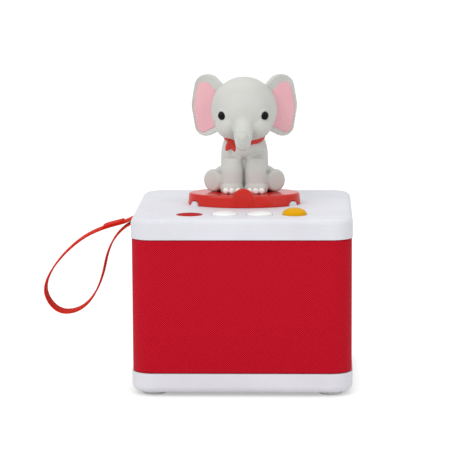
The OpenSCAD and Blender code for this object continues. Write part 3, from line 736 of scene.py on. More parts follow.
@dataclass(frozen=True)
class Twill(Finish):
    """Woven polyester: diagonal ribs of crossing threads, with a soft sheen.

    Attributes:
        pitch: Distance from rib to rib along the band, drawn coarser than the real thread.
        relief: Height of a rib.
        yarn: Size of the specks in the yarn.
    """

    pitch: float = 1.25
    relief: float = 0.16
    yarn: float = 0.5

    def dress(self, tree: Tree, shader: Node) -> None:
        """Draws ribs and the thread steps across them from the weave's own UV map, with painted
        shade between the ribs and a painted highlight on their crowns.

        Args:
            tree: The material's node tree.
            shader: The shader that it ends in.
        """
        weave = add_node(tree, "UVMap", uv_map="weave").outputs["UV"]
        drift = noise(tree, weave, 6, 2.0)
        parts = add_node(tree, "SeparateXYZ", {"Vector": weave}).outputs
        waves = []
        for operation, pitch in (("ADD", self.pitch), ("SUBTRACT", self.pitch * 0.62)):
            line = math_step(tree, operation, parts["X"], parts["Y"])
            turn = math_step(tree, "MULTIPLY", line, 2 * pi / (pitch * MM))
            bent = math_step(tree, "MULTIPLY_ADD", drift, 2.4, turn)
            wave = math_step(tree, "SINE", bent)
            waves.append(math_step(tree, "MULTIPLY_ADD", wave, 0.5, 0.5))
        steps = math_step(tree, "MULTIPLY_ADD", waves[1], 0.55, 0.45)
        crown = math_step(tree, "MULTIPLY", waves[0], steps)
        specks = noise(tree, weave, self.yarn, 1.0)
        # Colour from rib height: painted shade darkens the grooves between the ribs and a painted
        # highlight lightens their crowns; the yarn specks add random tone.
        specks_and_rib_shade = math_step(tree, "MULTIPLY_ADD", specks, 0.3, crown)
        self.paint(shader, specks_and_rib_shade, 0.2, 0.85)
        self.emboss(shader, crown, 0.8, self.relief)
        sheen = {"Sheen Weight": 0.16, "Sheen Roughness": 0.4, "Sheen Tint": linear("#FF8A90")}
        self.settle_inputs(shader, {"Specular IOR Level": 0.12, **sheen})


@dataclass(frozen=True)
class Metal(Finish):
    """Rolled, turned or plated metal: fine lines in one direction.

    Attributes:
        stretch: How many times finer the lines are along X, Y and Z.
        line: Distance between the lines.
    """

    stretch: Triple = (1.0, 1.0, 12.0)
    line: float = 0.4

    def dress(self, tree: Tree, shader: Node) -> None:
        """Draws the lines in the colour, the roughness and a shallow bump.

        Args:
            tree: The material's node tree.
            shader: The shader that it ends in.
        """
        inputs = {"Vector": object_place(tree), "Scale": self.stretch}
        stretched = add_node(tree, "Mapping", inputs).outputs["Vector"]
        lines = noise(tree, stretched, self.line * 8, 4.0)
        self.paint(shader, lines, 0.3, 0.7)
        self.polish(shader, lines, 0.8, 1.25)
        self.emboss(shader, lines, 0.3, 0.01)
        self.settle_inputs(shader, {"Metallic": 1.0})


@dataclass(frozen=True)
class Laminate(Finish):
    """Circuit board: copper tracks that show as lighter lines through a glossy solder mask.

    Attributes:
        track: Distance between tracks.
    """

    track: float = 1.6

    def dress(self, tree: Tree, shader: Node) -> None:
        """Draws square runs of track and raises them under the mask.

        Args:
            tree: The material's node tree.
            shader: The shader that it ends in.
        """
        inputs = {
            "Vector": object_place(tree),
            "Color1": (0, 0, 0, 1),
            "Color2": (0.25, 0.25, 0.25, 1),
            "Mortar": (1, 1, 1, 1),
            "Scale": 1 / (self.track * 4 * MM),
            "Mortar Size": 0.04,
            "Brick Width": 1.4,
            "Row Height": 0.35,
        }
        runs = add_node(tree, "TexBrick", inputs).outputs["Color"]
        self.paint(shader, runs, 0.2, 0.9)
        self.emboss(shader, runs, 0.5, 0.035)
        self.settle_inputs(shader, {"Coat Weight": 0.5, "Coat Roughness": 0.15})


@dataclass(frozen=True)
class Pressed(Finish):
    """Pressed pulp or sintered powder: specks and short fibres of two shades.

    Attributes:
        speck: Size of a speck.
        depth: Depth of the surface's pits.
    """

    speck: float = 0.6
    depth: float = 0.03

    def dress(self, tree: Tree, shader: Node) -> None:
        """Draws specks in the colour and pits as a bump.

        Args:
            tree: The material's node tree.
            shader: The shader that it ends in.
        """
        place = object_place(tree)
        inputs = {"Vector": place, "Scale": 1 / (self.speck * MM)}
        specks = add_node(tree, "TexVoronoi", inputs).outputs["Distance"]
        pits = noise(tree, place, self.speck * 2, 5.0)
        mixed = math_step(tree, "MULTIPLY_ADD", specks, 0.5, pits)
        self.paint(shader, mixed, 0.35, 0.95)
        self.emboss(shader, pits, 0.7, self.depth)


# The record's material slots, each with the finish of the real material
FINISHES: dict[str, Finish] = {
    # ABS from a polished mould: bright, nearly even white with a soft gloss
    "white_shell": Moulded("white moulded ABS", "#DADBE1", "#E1E2E8", 0.5, shine=0.15),
    "white_button": Moulded("white polished ABS", "#EAEAEA", "#F1F1F1", 0.25, shine=0.35),
    "red_button": Moulded("dark red moulded ABS", "#AE1614", "#B81B19", 0.6, shine=0.05),
    "yellow_button": Moulded("yellow polished ABS", "#DA9F00", "#E3A900", 0.42, shine=0.08),
    # Polyester yarn: saturated crimson; painted shade darkens it between the ribs and a painted
    # highlight turns it pink where threads crown
    "red_weave": Twill("crimson woven polyester", "#780008", "#F21232", 0.8),
    # Thermoplastic polyurethane band: slightly waxy
    "strap_red": Moulded("red moulded TPU band", "#CC2411", "#D6301E", 0.7, shine=0.05),
    "foot_rubber": Moulded("pale soft rubber", "#D6D4CF", "#E0DED9", 0.7, grain=0.3, depth=0.01),
    "frame_plastic": Moulded("dark moulded ABS", "#252527", "#2E2E30", 0.55, depth=0.01),
    "steel": Metal("zinc-plated steel", "#B4B5B8", "#CFD0D2", 0.3),
    "black_plastic": Moulded("black moulded nylon", "#101011", "#18181A", 0.5, depth=0.008),
    "board_green": Laminate("green solder mask", "#0B4523", "#1F6E3A", 0.3),
    "copper": Metal("etched copper", "#C9804B", "#E3A06B", 0.28),
    "magnet_nickel": Metal("nickel plate", "#BDBBB6", "#D8D6D0", 0.14, line=0.8),
    "ferrite": Pressed("sintered ferrite", "#2A2A2D", "#3C3C3F", 0.8, speck=0.3),
    "cone_paper": Pressed("pressed paper pulp", "#1F1F21", "#343436", 0.9, speck=0.8),
    "surround_rubber": Moulded("black rubber roll", "#0E0E0E", "#161616", 0.65, depth=0.01),
    "cell_sleeve": Moulded("blue shrink sleeve", "#2F5E98", "#3A6DAA", 0.25, coat=0.4),
    "ribbon_white": Moulded("white flat cable", "#DCDCD6", "#E6E6E1", 0.4, grain=1.0),
    "lead_black": Moulded("black wire insulation", "#0C0C0C", "#131313", 0.45),
    "lead_red": Moulded("red wire insulation", "#A8170F", "#B52018", 0.45),
    "disc_red": Moulded("red polished ABS", "#C41A10", "#CE2217", 0.2, shine=0.3),
    # Rotation-moulded soft vinyl: matt, with a little light inside it
    "figure_grey": Moulded("grey matt vinyl", "#C6C7C2", "#CFD0CB", 0.5, milky=0.05, depth=0.01),
    "ear_pink": Moulded("pink painted vinyl", "#E3A9B2", "#EBB5BC", 0.5, depth=0.01),
    "eye_black": Moulded("black gloss paint", "#020202", "#050505", 0.14, shine=0.12),
    "nail_ivory": Moulded("ivory painted vinyl", "#F0F1EE", "#F6F7F4", 0.45, depth=0.01),
    "kerchief_red": Moulded("red painted vinyl", "#C52A20", "#CF352A", 0.5, depth=0.01),
}


def dress(piece: Piece, slot: str, body: str, *nodes: str) -> Piece:
    """Gives a new piece its finish, the body it moves with and the CAD nodes it stands for.

    Args:
        piece: The finished piece.
        slot: The record's material slot.
        body: The CAD body it rides on.
        nodes: The CAD nodes it replaces.

    Returns:
        The piece.
    """
    piece.data.materials.clear()
    piece.data.materials.append(FINISHES[slot].build())
    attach(piece, body)
    if nodes:
        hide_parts(*nodes)
    log.info("%s: %d faces, on %s", piece.name, len(piece.data.polygons), body)
    return piece


@dataclass(frozen=True)
class Bend:
    """A smooth curve in a side view.

    Attributes:
        start: Its first end.
        end: Its last end.
        leave: Direction at the first end, in degrees.
        arrive: Direction at the last end, in degrees.
        pull: How hard it is pulled away from the first end.
        push: How hard it is pulled before the last end.
    """

    start: Sequence[float]
    end: Sequence[float]
    leave: float
    arrive: float
    pull: float
    push: float

    def at(self, t: float) -> Vector:
        """Finds a point of the curve.

        Args:
            t: Share of the curve, from 0 to 1.

        Returns:
            The point, in the curve's own units.
        """
        a, b, s = Vector(self.start), Vector(self.end), 1 - t
        p = a + self.pull * Vector((cos(radians(self.leave)), sin(radians(self.leave))))
        q = b - self.push * Vector((cos(radians(self.arrive)), sin(radians(self.arrive))))
        return s**3 * a + 3 * t * s**2 * p + 3 * t**2 * s * q + t**3 * b


# ---- Sub-assemblies ----


@dataclass
class Case:
    """The case: lid, base, woven sleeve and feet. Sizes are in millimetres."""

    width: float = 120
    corner: float = 12
    wall: float = 2.2
    foot: float = 1.8
    base_top: float = 12.6
    lid_low: float = 85.8
    lid_top: float = 97.0
    lid_skin: float = 2.4
    lid_edge: float = 3.2
    base_edge: float = 4
    corner_inset: float = 12
    foot_radius: float = 6.5
    boss_radius: float = 3.4
    base_boss_radius: float = 4.6
    # Half the width and half the length of the figure's seat, its depth and its middle along Y
    seat: tuple[float, float, float, float] = (25.3, 13.3, 1.2, 1.5)
    pocket_half_width: float = 7.5
    pocket_half_height: float = 3.8
    pocket_depth: float = 4.2
    pocket_wall: float = 1.2
    # A little more than part.scad's, so that the turned strap stays clear of the pocket's mouth
    pocket_flare: float = 0.5
    pin_height: float = 90.4
    collar_low: float = 91.6
    collar_wall: float = 1.2
    band_recess: float = 0.5
    sleeve_thickness: float = 0.8
    gap: float = 0.3
    socket_x: float = 12
    jack_height: float = 8.9
    usb_height: float = 8.0
    fillet: float = 0.22
    overlap: float = 0.5
    pocket_edge: float = 1.2
    pin_inset: float = 1.8
    pin_radius: float = 1
    # Radius and depth of the screws' bores in the lid, and of their heads' in the base
    lid_bore: Pair = (1.3, 7)
    base_head: Pair = (3, 4)
    base_bore: float = 1.7
    jack_radius: float = 3.1
    # Half the width and half the height of the charging socket's hole
    usb_half: Pair = (4.7, 1.8)
    hem: float = 0.28
    seam_half: float = 1.6
    seam_sunk: float = 0.3
    seam_rise: float = 0.22
    seam_inset: float = 0.6
    seam_edge: float = 0.2
    stitches: int = 28
    stitch_x: float = 1.05
    stitch: tuple[float, Triple] = (0.28, (0.8, 0.7, 3.4))
    foot_sink: float = 0.8
    foot_rim: float = 0.5
    # Where the hollow under a foot starts and ends, from its edge, and its depth
    foot_groove: Triple = (2.2, 1.8, 0.15)

    @property
    def corners(self) -> list[Pair]:
        """Returns the four places of the feet and the corner screws."""
        reach = self.width / 2 - self.corner_inset
        return [(x * reach, y * reach) for x in (-1, 1) for y in (-1, 1)]

    def at_corners(self, name: str, radius: float, low: float, high: float) -> list[Piece]:
        """Adds an upright drum at each foot's place."""
        return [drum(name, radius, low, high, mm(x, y, 0)) for x, y in self.corners]

    def shell(self, name: str, low: float, high: float, edges: Pair) -> Piece:
        """Makes a cover as a block hollowed from its open side.

        Args:
            name: The piece's name.
            low: Height of its underside.
            high: Height of its top.
            edges: Radii of its lower and upper rims; the rim without one is the open side.

        Returns:
            The hollow cover.
        """
        half, inner = self.width / 2, self.width / 2 - self.wall
        cover = soft_box(name, half, low, high, self.corner, *edges)
        floor, roof = low - PAST, high - self.lid_skin
        if edges[0]:
            floor, roof = low + self.wall, high + PAST
        hollow = soft_box("hollow", inner, floor, roof, self.corner - self.wall)
        return carve(cover, [hollow])

    def pocket(self, grow: float) -> Piece:
        """Makes the block of the strap's pocket, or with grow the block of its walls.

        Args:
            grow: Thickness of the walls, or 0 for the pocket itself.

        Returns:
            The block.
        """
        outer = -self.width / 2 - (PAST if grow == 0 else -PAST)
        inner = -self.width / 2 + self.pocket_depth + grow
        high = self.pocket_half_height + grow
        low = min(high, self.pin_height - self.lid_low)
        reach = self.pocket_half_width + grow
        piece = box(
            "pocket",
            (outer, -reach, self.pin_height - low),
            (inner, reach, self.pin_height + high),
        )
        if grow == 0:
            with editing(piece):
                soften(piece, lambda _, run: abs(run.x) > 0.9, self.pocket_edge, 5)
                pick(piece, Pick.FACES, lambda _, normal: normal.x < -0.9)
                bpy.ops.transform.resize(
                    value=(1, 1, 1 + self.pocket_flare / self.pocket_half_height),
                    center_override=mm(0, 0, self.pin_height),
                )
        return piece

    def lid(self, holes: Sequence[Triple]) -> Piece:
        """Makes the lid with its collars, bosses, button holes, seat and strap pocket.

        Args:
            holes: Place and radius of each button's hole.

        Returns:
            The lid.
        """
        lid = self.shell("lid", self.lid_low, self.lid_top, (0, self.lid_edge))
        over = self.lid_top - self.lid_skin + self.overlap
        added = [
            drum("collar", radius + self.collar_wall, self.collar_low, over, mm(x, y, 0))
            for x, y, radius in holes
        ]
        added += self.at_corners("boss", self.boss_radius, self.lid_low, over)
        carve(lid, added + [self.pocket(self.pocket_wall)], Cut.JOINED)
        top = self.lid_top + PAST
        gone = [
            drum("hole", radius, self.collar_low - PAST, top, mm(x, y, 0))
            for x, y, radius in holes
        ]
        bore, deep = self.lid_bore
        gone += self.at_corners("bore", bore, self.lid_low - PAST, self.lid_low + deep)
        half_x, half_y, depth, back = self.seat
        gone.append(oval_drum("seat", half_x, half_y, self.lid_top - depth, top, back))
        carve(lid, gone + [self.pocket(0)])
        reach = self.pocket_half_width + self.pocket_wall
        at = mm(self.pin_inset - self.width / 2, 0, self.pin_height)
        pin = drum("pin_bore", self.pin_radius, -reach, reach, at, Axis.BACK)
        return filleted(carve(lid, [pin]), self.fillet)

    def base(self) -> Piece:
        """Makes the base with its bosses, foot recesses, screw bores and rear sockets.

        Returns:
            The base.
        """
        base = self.shell("base", self.foot, self.base_top, (self.base_edge, 0))
        floor = self.foot + self.wall - self.overlap
        bosses = self.at_corners("boss", self.base_boss_radius, floor, self.base_top)
        carve(base, bosses, Cut.JOINED)
        head, deep = self.base_head
        gone = self.at_corners("foot", self.foot_radius, 0, self.foot + self.foot_sink)
        gone += self.at_corners("head", head, self.foot, self.foot + deep)
        gone += self.at_corners("bore", self.base_bore, self.foot, self.base_top + PAST)
        rear = self.width / 2
        at = mm(self.socket_x, rear, self.jack_height)
        gone.append(drum("jack", self.jack_radius, -self.wall - PAST, PAST, at, Axis.BACK))
        wide, tall = self.usb_half
        slot = box(
            "usb",
            (-self.socket_x - wide, rear - self.wall - PAST, self.usb_height - tall),
            (-self.socket_x + wide, rear + PAST, self.usb_height + tall),
        )
        with editing(slot):
            soften(slot, lambda _, run: abs(run.y) > 0.9, tall - 0.01, 8)
        return filleted(carve(base, gone + [slot]), self.fillet)

    def along(self, at: Vector) -> float:
        """Measures how far round the sleeve a point is, from the middle of the back, in metres.

        Args:
            at: The point, in metres.

        Returns:
            The distance.
        """
        half = self.width / 2 - self.band_recess
        radius = self.corner - self.band_recess
        flat = 2 * (half - radius)
        side = flat + radius * pi / 2
        turn = atan2(-at.x, at.y) / (pi / 2)
        quarter = round(turn)
        rotated = Matrix.Rotation(-quarter * pi / 2, 3, "Z") @ at
        x, y = -rotated.x / MM, rotated.y / MM
        straight = max(-flat / 2, min(flat / 2, x))
        bend = 0.0
        if abs(x) > flat / 2:
            lean = atan2(abs(x) - flat / 2, max(y - (half - radius), 1e-6))
            bend = copysign(radius * lean, x)
        return (quarter * side + straight + bend) * MM

    def sleeve(self) -> Piece:
        """Makes the woven sleeve as one band of cloth whose rims turn in under the covers.

        Returns:
            The sleeve.
        """
        half = self.width / 2 - self.band_recess
        low, high = self.base_top + self.gap, self.lid_low - self.gap
        band = soft_box("sleeve", half, low, high, self.corner - self.band_recess)
        with editing(band):
            pick(band, Pick.FACES, lambda _, normal: abs(normal.z) > 0.9)
            bpy.ops.mesh.delete(type="FACE")
        modify(band, "SOLIDIFY", thickness=self.sleeve_thickness * MM, offset=-1)
        foot, head = low * MM + 1e-5, high * MM - 1e-5
        with editing(band):
            soften(band, lambda at, run: abs(run.z) < 0.1 and not foot < at.z < head, self.hem, 3)
        mesh = band.data
        for layer in list(mesh.uv_layers):
            mesh.uv_layers.remove(layer)
        threads = mesh.uv_layers.new(name="weave")
        full = 4 * self.along(mm(-half, 0, 0))
        for face in mesh.polygons:
            middle = self.along(face.center)
            for k in face.loop_indices:
                at = mesh.vertices[mesh.loops[k].vertex_index].co
                u = self.along(at)
                u += full * round((middle - u) / full)
                threads.data[k].uv = (u, at.z)
        rounded_shading(band)
        return band

    def seam(self) -> Piece:
        """Makes the sewn join of the sleeve, a narrow raised tape with stitches, at the back.

        Returns:
            The seam.
        """
        rear = self.width / 2 - self.band_recess
        low, high = self.base_top + self.seam_inset, self.lid_low - self.seam_inset
        wide, out = self.seam_half, rear + self.seam_rise
        tape = box("sleeve_seam", (-wide, rear - self.seam_sunk, low), (wide, out, high))
        filleted(tape, self.seam_edge)
        radius, stretch = self.stitch
        stitch = ball("stitch", radius, Vector(), stretch)
        stitches = []
        for side in (-1, 1):
            for k in range(self.stitches):
                height = low + (k + 0.5) * (high - low) / self.stitches
                stitches.append(settle(copied(stitch), shift(side * self.stitch_x, out, height)))
        bpy.data.objects.remove(stitch)
        return rounded_shading(joined("sleeve_seam", [tape, *stitches]))

    def feet(self) -> Piece:
        """Makes the four rubber feet, each a pad with a rounded rim.

        Returns:
            The feet, as one piece.
        """
        r, top, edge = self.foot_radius, self.foot + self.foot_sink, self.foot_rim
        rim = [
            (r - edge * (1 - sin(a)), edge * (1 - cos(a)))
            for a in (0, 0.5, 1.0, pi / 2)
        ]
        inner, outer, deep = self.foot_groove
        rings = [(0, deep), (r - inner, deep), (r - outer, 0), *rim, (r, top), (0, top)]
        pads = [turned("foot", rings, mm(x, y, 0), steps=48) for x, y in self.corners]
        return joined("feet", pads)

    def build(self, holes: Sequence[Triple]) -> None:
        """Builds the case's pieces on body "case".

        Args:
            holes: Place and radius of each button's hole.
        """
        dress(self.lid(holes), "white_shell", "case", "top_cover")
        dress(self.base(), "white_shell", "case", "base_cover")
        dress(self.sleeve(), "red_weave", "case", "fabric_sleeve")
        dress(self.seam(), "kerchief_red", "case")
        dress(self.feet(), "foot_rubber", "case", "rubber_feet")


@dataclass(frozen=True)
class Key:
    """One button.

    Attributes:
        name: The CAD node and piece name.
        body: The CAD body it moves with.
        slot: Its material slot.
        radius: Its cap's radius.
        rise: Its top's height above the lid; below zero for the depth of a dish.
        side: Height of the upright side above the lid.
    """

    name: str
    body: str
    slot: str
    radius: float
    rise: float
    side: float


@dataclass
class Buttons:
    """The row of four buttons. Sizes are in millimetres."""

    pitch: float = 19
    row: float = -41
    lid_top: float = 97.0
    flange_top: float = 91.5
    flange: float = 1
    flange_reach: float = 0.9
    stem: float = 0.8
    stem_radius: float = 2.6
    gap: float = 0.3
    fullness: Pair = (2.5, 0.72)
    flange_edge: float = 0.2
    rim_cut: Pair = (0.25, 0.08)
    shoulder_cut: Pair = (0.05, 0.12)
    lip: float = 0.8
    ease: float = 0.3
    dish_steps: int = 10
    dome_steps: int = 16
    keys: tuple[Key, ...] = (
        Key("power_button", "power_key", "red_button", 7, -0.6, 0),
        Key("volume_down_button", "volume_down_key", "white_button", 7, 2.0, 0.3),
        Key("volume_up_button", "volume_up_key", "white_button", 7, 2.0, 0.3),
        Key("play_button", "play_key", "yellow_button", 6.5, 3.6, 1),
    )

    def places(self) -> list[Triple]:
        """Returns the place and radius of each button's hole in the lid."""
        return [
            ((k - 1.5) * self.pitch, self.row, key.radius + self.gap)
            for k, key in enumerate(self.keys)
        ]

    def profile(self, key: Key) -> list[Pair]:
        """Draws half of a button's section, from the stem's foot to the middle of its top.

        Args:
            key: The button.

        Returns:
            Radius and height of each point.
        """
        r, low = key.radius, self.flange_top - self.flange
        wide = r + self.gap + self.flange_reach
        foot = low - self.stem
        points = [(0, foot), (self.stem_radius, foot), (self.stem_radius, low)]
        edge, top = self.flange_edge, self.flange_top
        points += [(wide - edge, low), (wide, low + edge), (wide, top - edge)]
        points += [(wide - edge, top), (r, top)]
        if key.rise < 0:
            rim, dish, steps = self.lid_top, r - self.lip, self.dish_steps
            cut, mid = self.rim_cut
            points += [(r, rim - cut), (r - mid, rim - mid), (r - cut, rim)]
            for k in range(steps + 1):
                points.append((dish * (1 - k / steps), rim + key.rise * (1 - (1 - k / steps) ** 2)))
            return points
        crown, steps = key.rise - key.side, self.dome_steps
        shoulder = self.lid_top + key.side
        cut, lift = self.shoulder_cut
        points += [(r, shoulder - cut), (r - cut, shoulder + lift)]
        for k in range(1, steps + 1):
            reach = (r - self.ease) * (1 - (k - 1) / (steps - 1))
            dome = (1 - (reach / r) ** self.fullness[0]) ** self.fullness[1]
            points.append((reach, shoulder + crown * dome))
        return points

    def build(self) -> None:
        """Builds the four buttons, each on its own body."""
        for key, (x, y, _) in zip(self.keys, self.places()):
            cap = turned(f"{key.name}_cap", self.profile(key), mm(x, y, 0), steps=72)
            dress(cap, key.slot, key.body, key.name)


@dataclass
class Strap:
    """The carrying loop, a flat band on the pin in the left wall."""

    pin_x: float = -58.2
    pin_z: float = 90.4
    reach: float = 54.6
    drop: float = 54.8
    width: float = 12
    thickness: float = 1
    eye_radius: float = 1.55
    lap: Pair = (0.37, 0.82)
    steps: int = 16
    lap_steps: int = 14
    lap_lift: Pair = (0.92, 0.6)
    eye_steps: int = 32
    # Each corner's place in shares of reach and drop, its direction, and the pull before and after
    corners: tuple[tuple[float, float, float, float, float], ...] = (
        (0.015, 0.024, -39.2, 0, 11.2),
        (0.502, -0.175, -25.7, 15.4, 13.4),
        (0.99, -0.763, -91, 10.3, 5),
        (0.772, -0.997, 179.7, 7.3, 13.3),
        (0.369, -0.498, 101.1, 12.3, 13.5),
        (-0.007, -0.027, 160, 13.3, 0),
    )

    def corner(self, k: int) -> Vector:
        """Returns one corner of the route, outwards and upwards from the pin."""
        return Vector((self.corners[k][0] * self.reach, self.corners[k][1] * self.drop))

    def route(self, share: float) -> Vector:
        """Returns the route's point at a share, counted in corners.

        Args:
            share: The share.

        Returns:
            The point, outwards and upwards from the pin.
        """
        k = min(int(share), len(self.corners) - 2)
        a, b = self.corners[k], self.corners[k + 1]
        bend = Bend(self.corner(k), self.corner(k + 1), a[2], b[2], a[4], b[3])
        return bend.at(share - k)

    def side(self, share: float) -> Vector:
        """Returns the direction out of the band's outer face at a share.

        Args:
            share: The share, counted in corners.

        Returns:
            The direction.
        """
        last = len(self.corners) - 1
        run = self.route(min(share + 0.01, last)) - self.route(max(share - 0.01, 0))
        return Vector((-run.y, run.x)).normalized()

    def band(self, name: str, line: Sequence[Vector], closed: bool = False) -> Piece:
        """Makes a flat band with round edges along a line in the side view.

        Args:
            name: The piece's name.
            line: Points outwards and upwards from the pin.
            closed: Whether the line ends where it starts.

        Returns:
            The band, across the strap's width.
        """
        piece = drawn(
            name,
            [mm(at.x, at.y, 0) for at in line],
            closed,
            dimensions="2D",
            fill_mode="NONE",
            bevel_depth=self.thickness / 2 * MM,
            bevel_resolution=4,
            extrude=(self.width - self.thickness) / 2 * MM,
        )
        turn = Matrix(((-1, 0, 0, 0), (0, 0, 1, 0), (0, 1, 0, 0), (0, 0, 0, 1)))
        return closed_up(settle(piece, shift(self.pin_x, 0, self.pin_z) @ turn))

    def build(self) -> None:
        """Builds the loop with its eye and the free end lapped over its upper run."""
        last = len(self.corners) - 1
        shares = [k / self.steps for k in range(self.steps * last + 1)]
        loop = self.band("strap_band", [self.route(s) for s in shares])
        first, end = self.lap
        middle, tips = self.lap_lift
        lapped = []
        for k in range(self.lap_steps + 1):
            share = first + (end - first) * k / self.lap_steps
            lift = self.thickness * (middle if 0 < k < self.lap_steps else tips)
            lapped.append(self.route(share) + self.side(share) * lift)
        tongue = self.band("lap", lapped)
        turns = [2 * pi * k / self.eye_steps for k in range(self.eye_steps)]
        ring = [Vector((cos(a), sin(a))) * self.eye_radius for a in turns]
        eye = self.band("eye", ring, closed=True)
        strap = joined("strap_band", [loop, tongue, eye])
        modify(rounded_shading(strap), "WEIGHTED_NORMAL", keep_sharp=True)
        dress(strap, "strap_red", "strap_loop", "strap")


@dataclass
class Stand:
    """The figure's oval stand. Sizes are in millimetres."""

    half_x: float = 31.5
    half_y: float = 19.5
    height: float = 6.5
    back: float = 1.5
    low: float = 97.0
    taper: float = 0.6
    wall: float = 2.2
    roof: float = 2
    top_edge: float = 1
    notch: float = 3
    notch_depth: float = 3.5
    notch_turn: float = 60
    medallion_radius: float = 6.2
    medallion_rise: float = 4.2
    medallion_depth: Pair = (0.2, 2.8)
    medallion_edge: float = 0.7
    voxel: float = 0.36
    fillet: float = 0.18

    def build(self) -> None:
        """Builds the stand with its notches and the round boss at its front."""
        top = self.low + self.height
        disc = oval_drum("stand", self.half_x, self.half_y, self.low, top, self.back)
        with editing(disc):
            pick(disc, Pick.FACES, lambda _, normal: normal.z > 0.9)
            shrink = (1 - self.taper / self.half_x, 1 - self.taper / self.half_y, 1)
            centre = mm(0, self.back, top)
            bpy.ops.transform.resize(value=shrink, center_override=centre)
            rim = (top - 0.1) * MM
            soften(disc, lambda at, run: abs(run.z) < 0.1 and at.z > rim, self.top_edge, 6)
        front = self.back - self.half_y
        middle = top + self.medallion_rise - self.medallion_radius
        near, far = self.medallion_depth
        at = mm(0, front, middle)
        boss = drum("medallion", self.medallion_radius, near, far, at, Axis.BACK)
        face = (front + 0.5) * MM
        with editing(boss):
            soften(boss, lambda at, run: abs(run.y) < 0.1 and at.y < face, self.medallion_edge, 5)
        floor = box("floor", (-20, front - 5, self.low - 10), (20, front + 5, self.low + 0.3))
        disc = melted("figure_stand", [disc, carve(boss, [floor])], self.voxel, 5)
        inner = self.wall + self.taper
        half_x, half_y = self.half_x - inner, self.half_y - inner
        gone = [oval_drum("inside", half_x, half_y, self.low - PAST, top - self.roof, self.back)]
        turn, deep = self.notch_turn, self.notch_depth
        for degrees in (turn, 180 - turn, 180 + turn, -turn):
            a = radians(degrees)
            lean = atan2(self.half_y * sin(a), self.half_x * cos(a))
            tool = drum("notch", self.notch, -deep, deep, Vector(), Axis.BACK)
            at = mm(self.half_x * sin(a), self.back - self.half_y * cos(a), self.low)
            gone.append(settle(tool, Matrix.Translation(at) @ Matrix.Rotation(lean, 4, "Z")))
        dress(filleted(carve(disc, gone), self.fillet), "disc_red", "figure", "figure_disc")


@dataclass(frozen=True)
class Lump:
    """A ball or an egg that is blended into a larger form.

    Attributes:
        name: Its name.
        radius: Its radius.
        at: Its middle, from the larger form's own point.
        stretch: Its size along X, Y and Z, in radii.
    """

    name: str
    radius: float
    at: Triple
    stretch: Triple = (1, 1, 1)

    def build(self, x: float, y: float, z: float, side: int = 1) -> Piece:
        """Adds the lump at a point, mirrored for side -1."""
        across, back, up = self.at
        return ball(self.name, self.radius, mm(x + side * across, y + back, z + up), self.stretch)


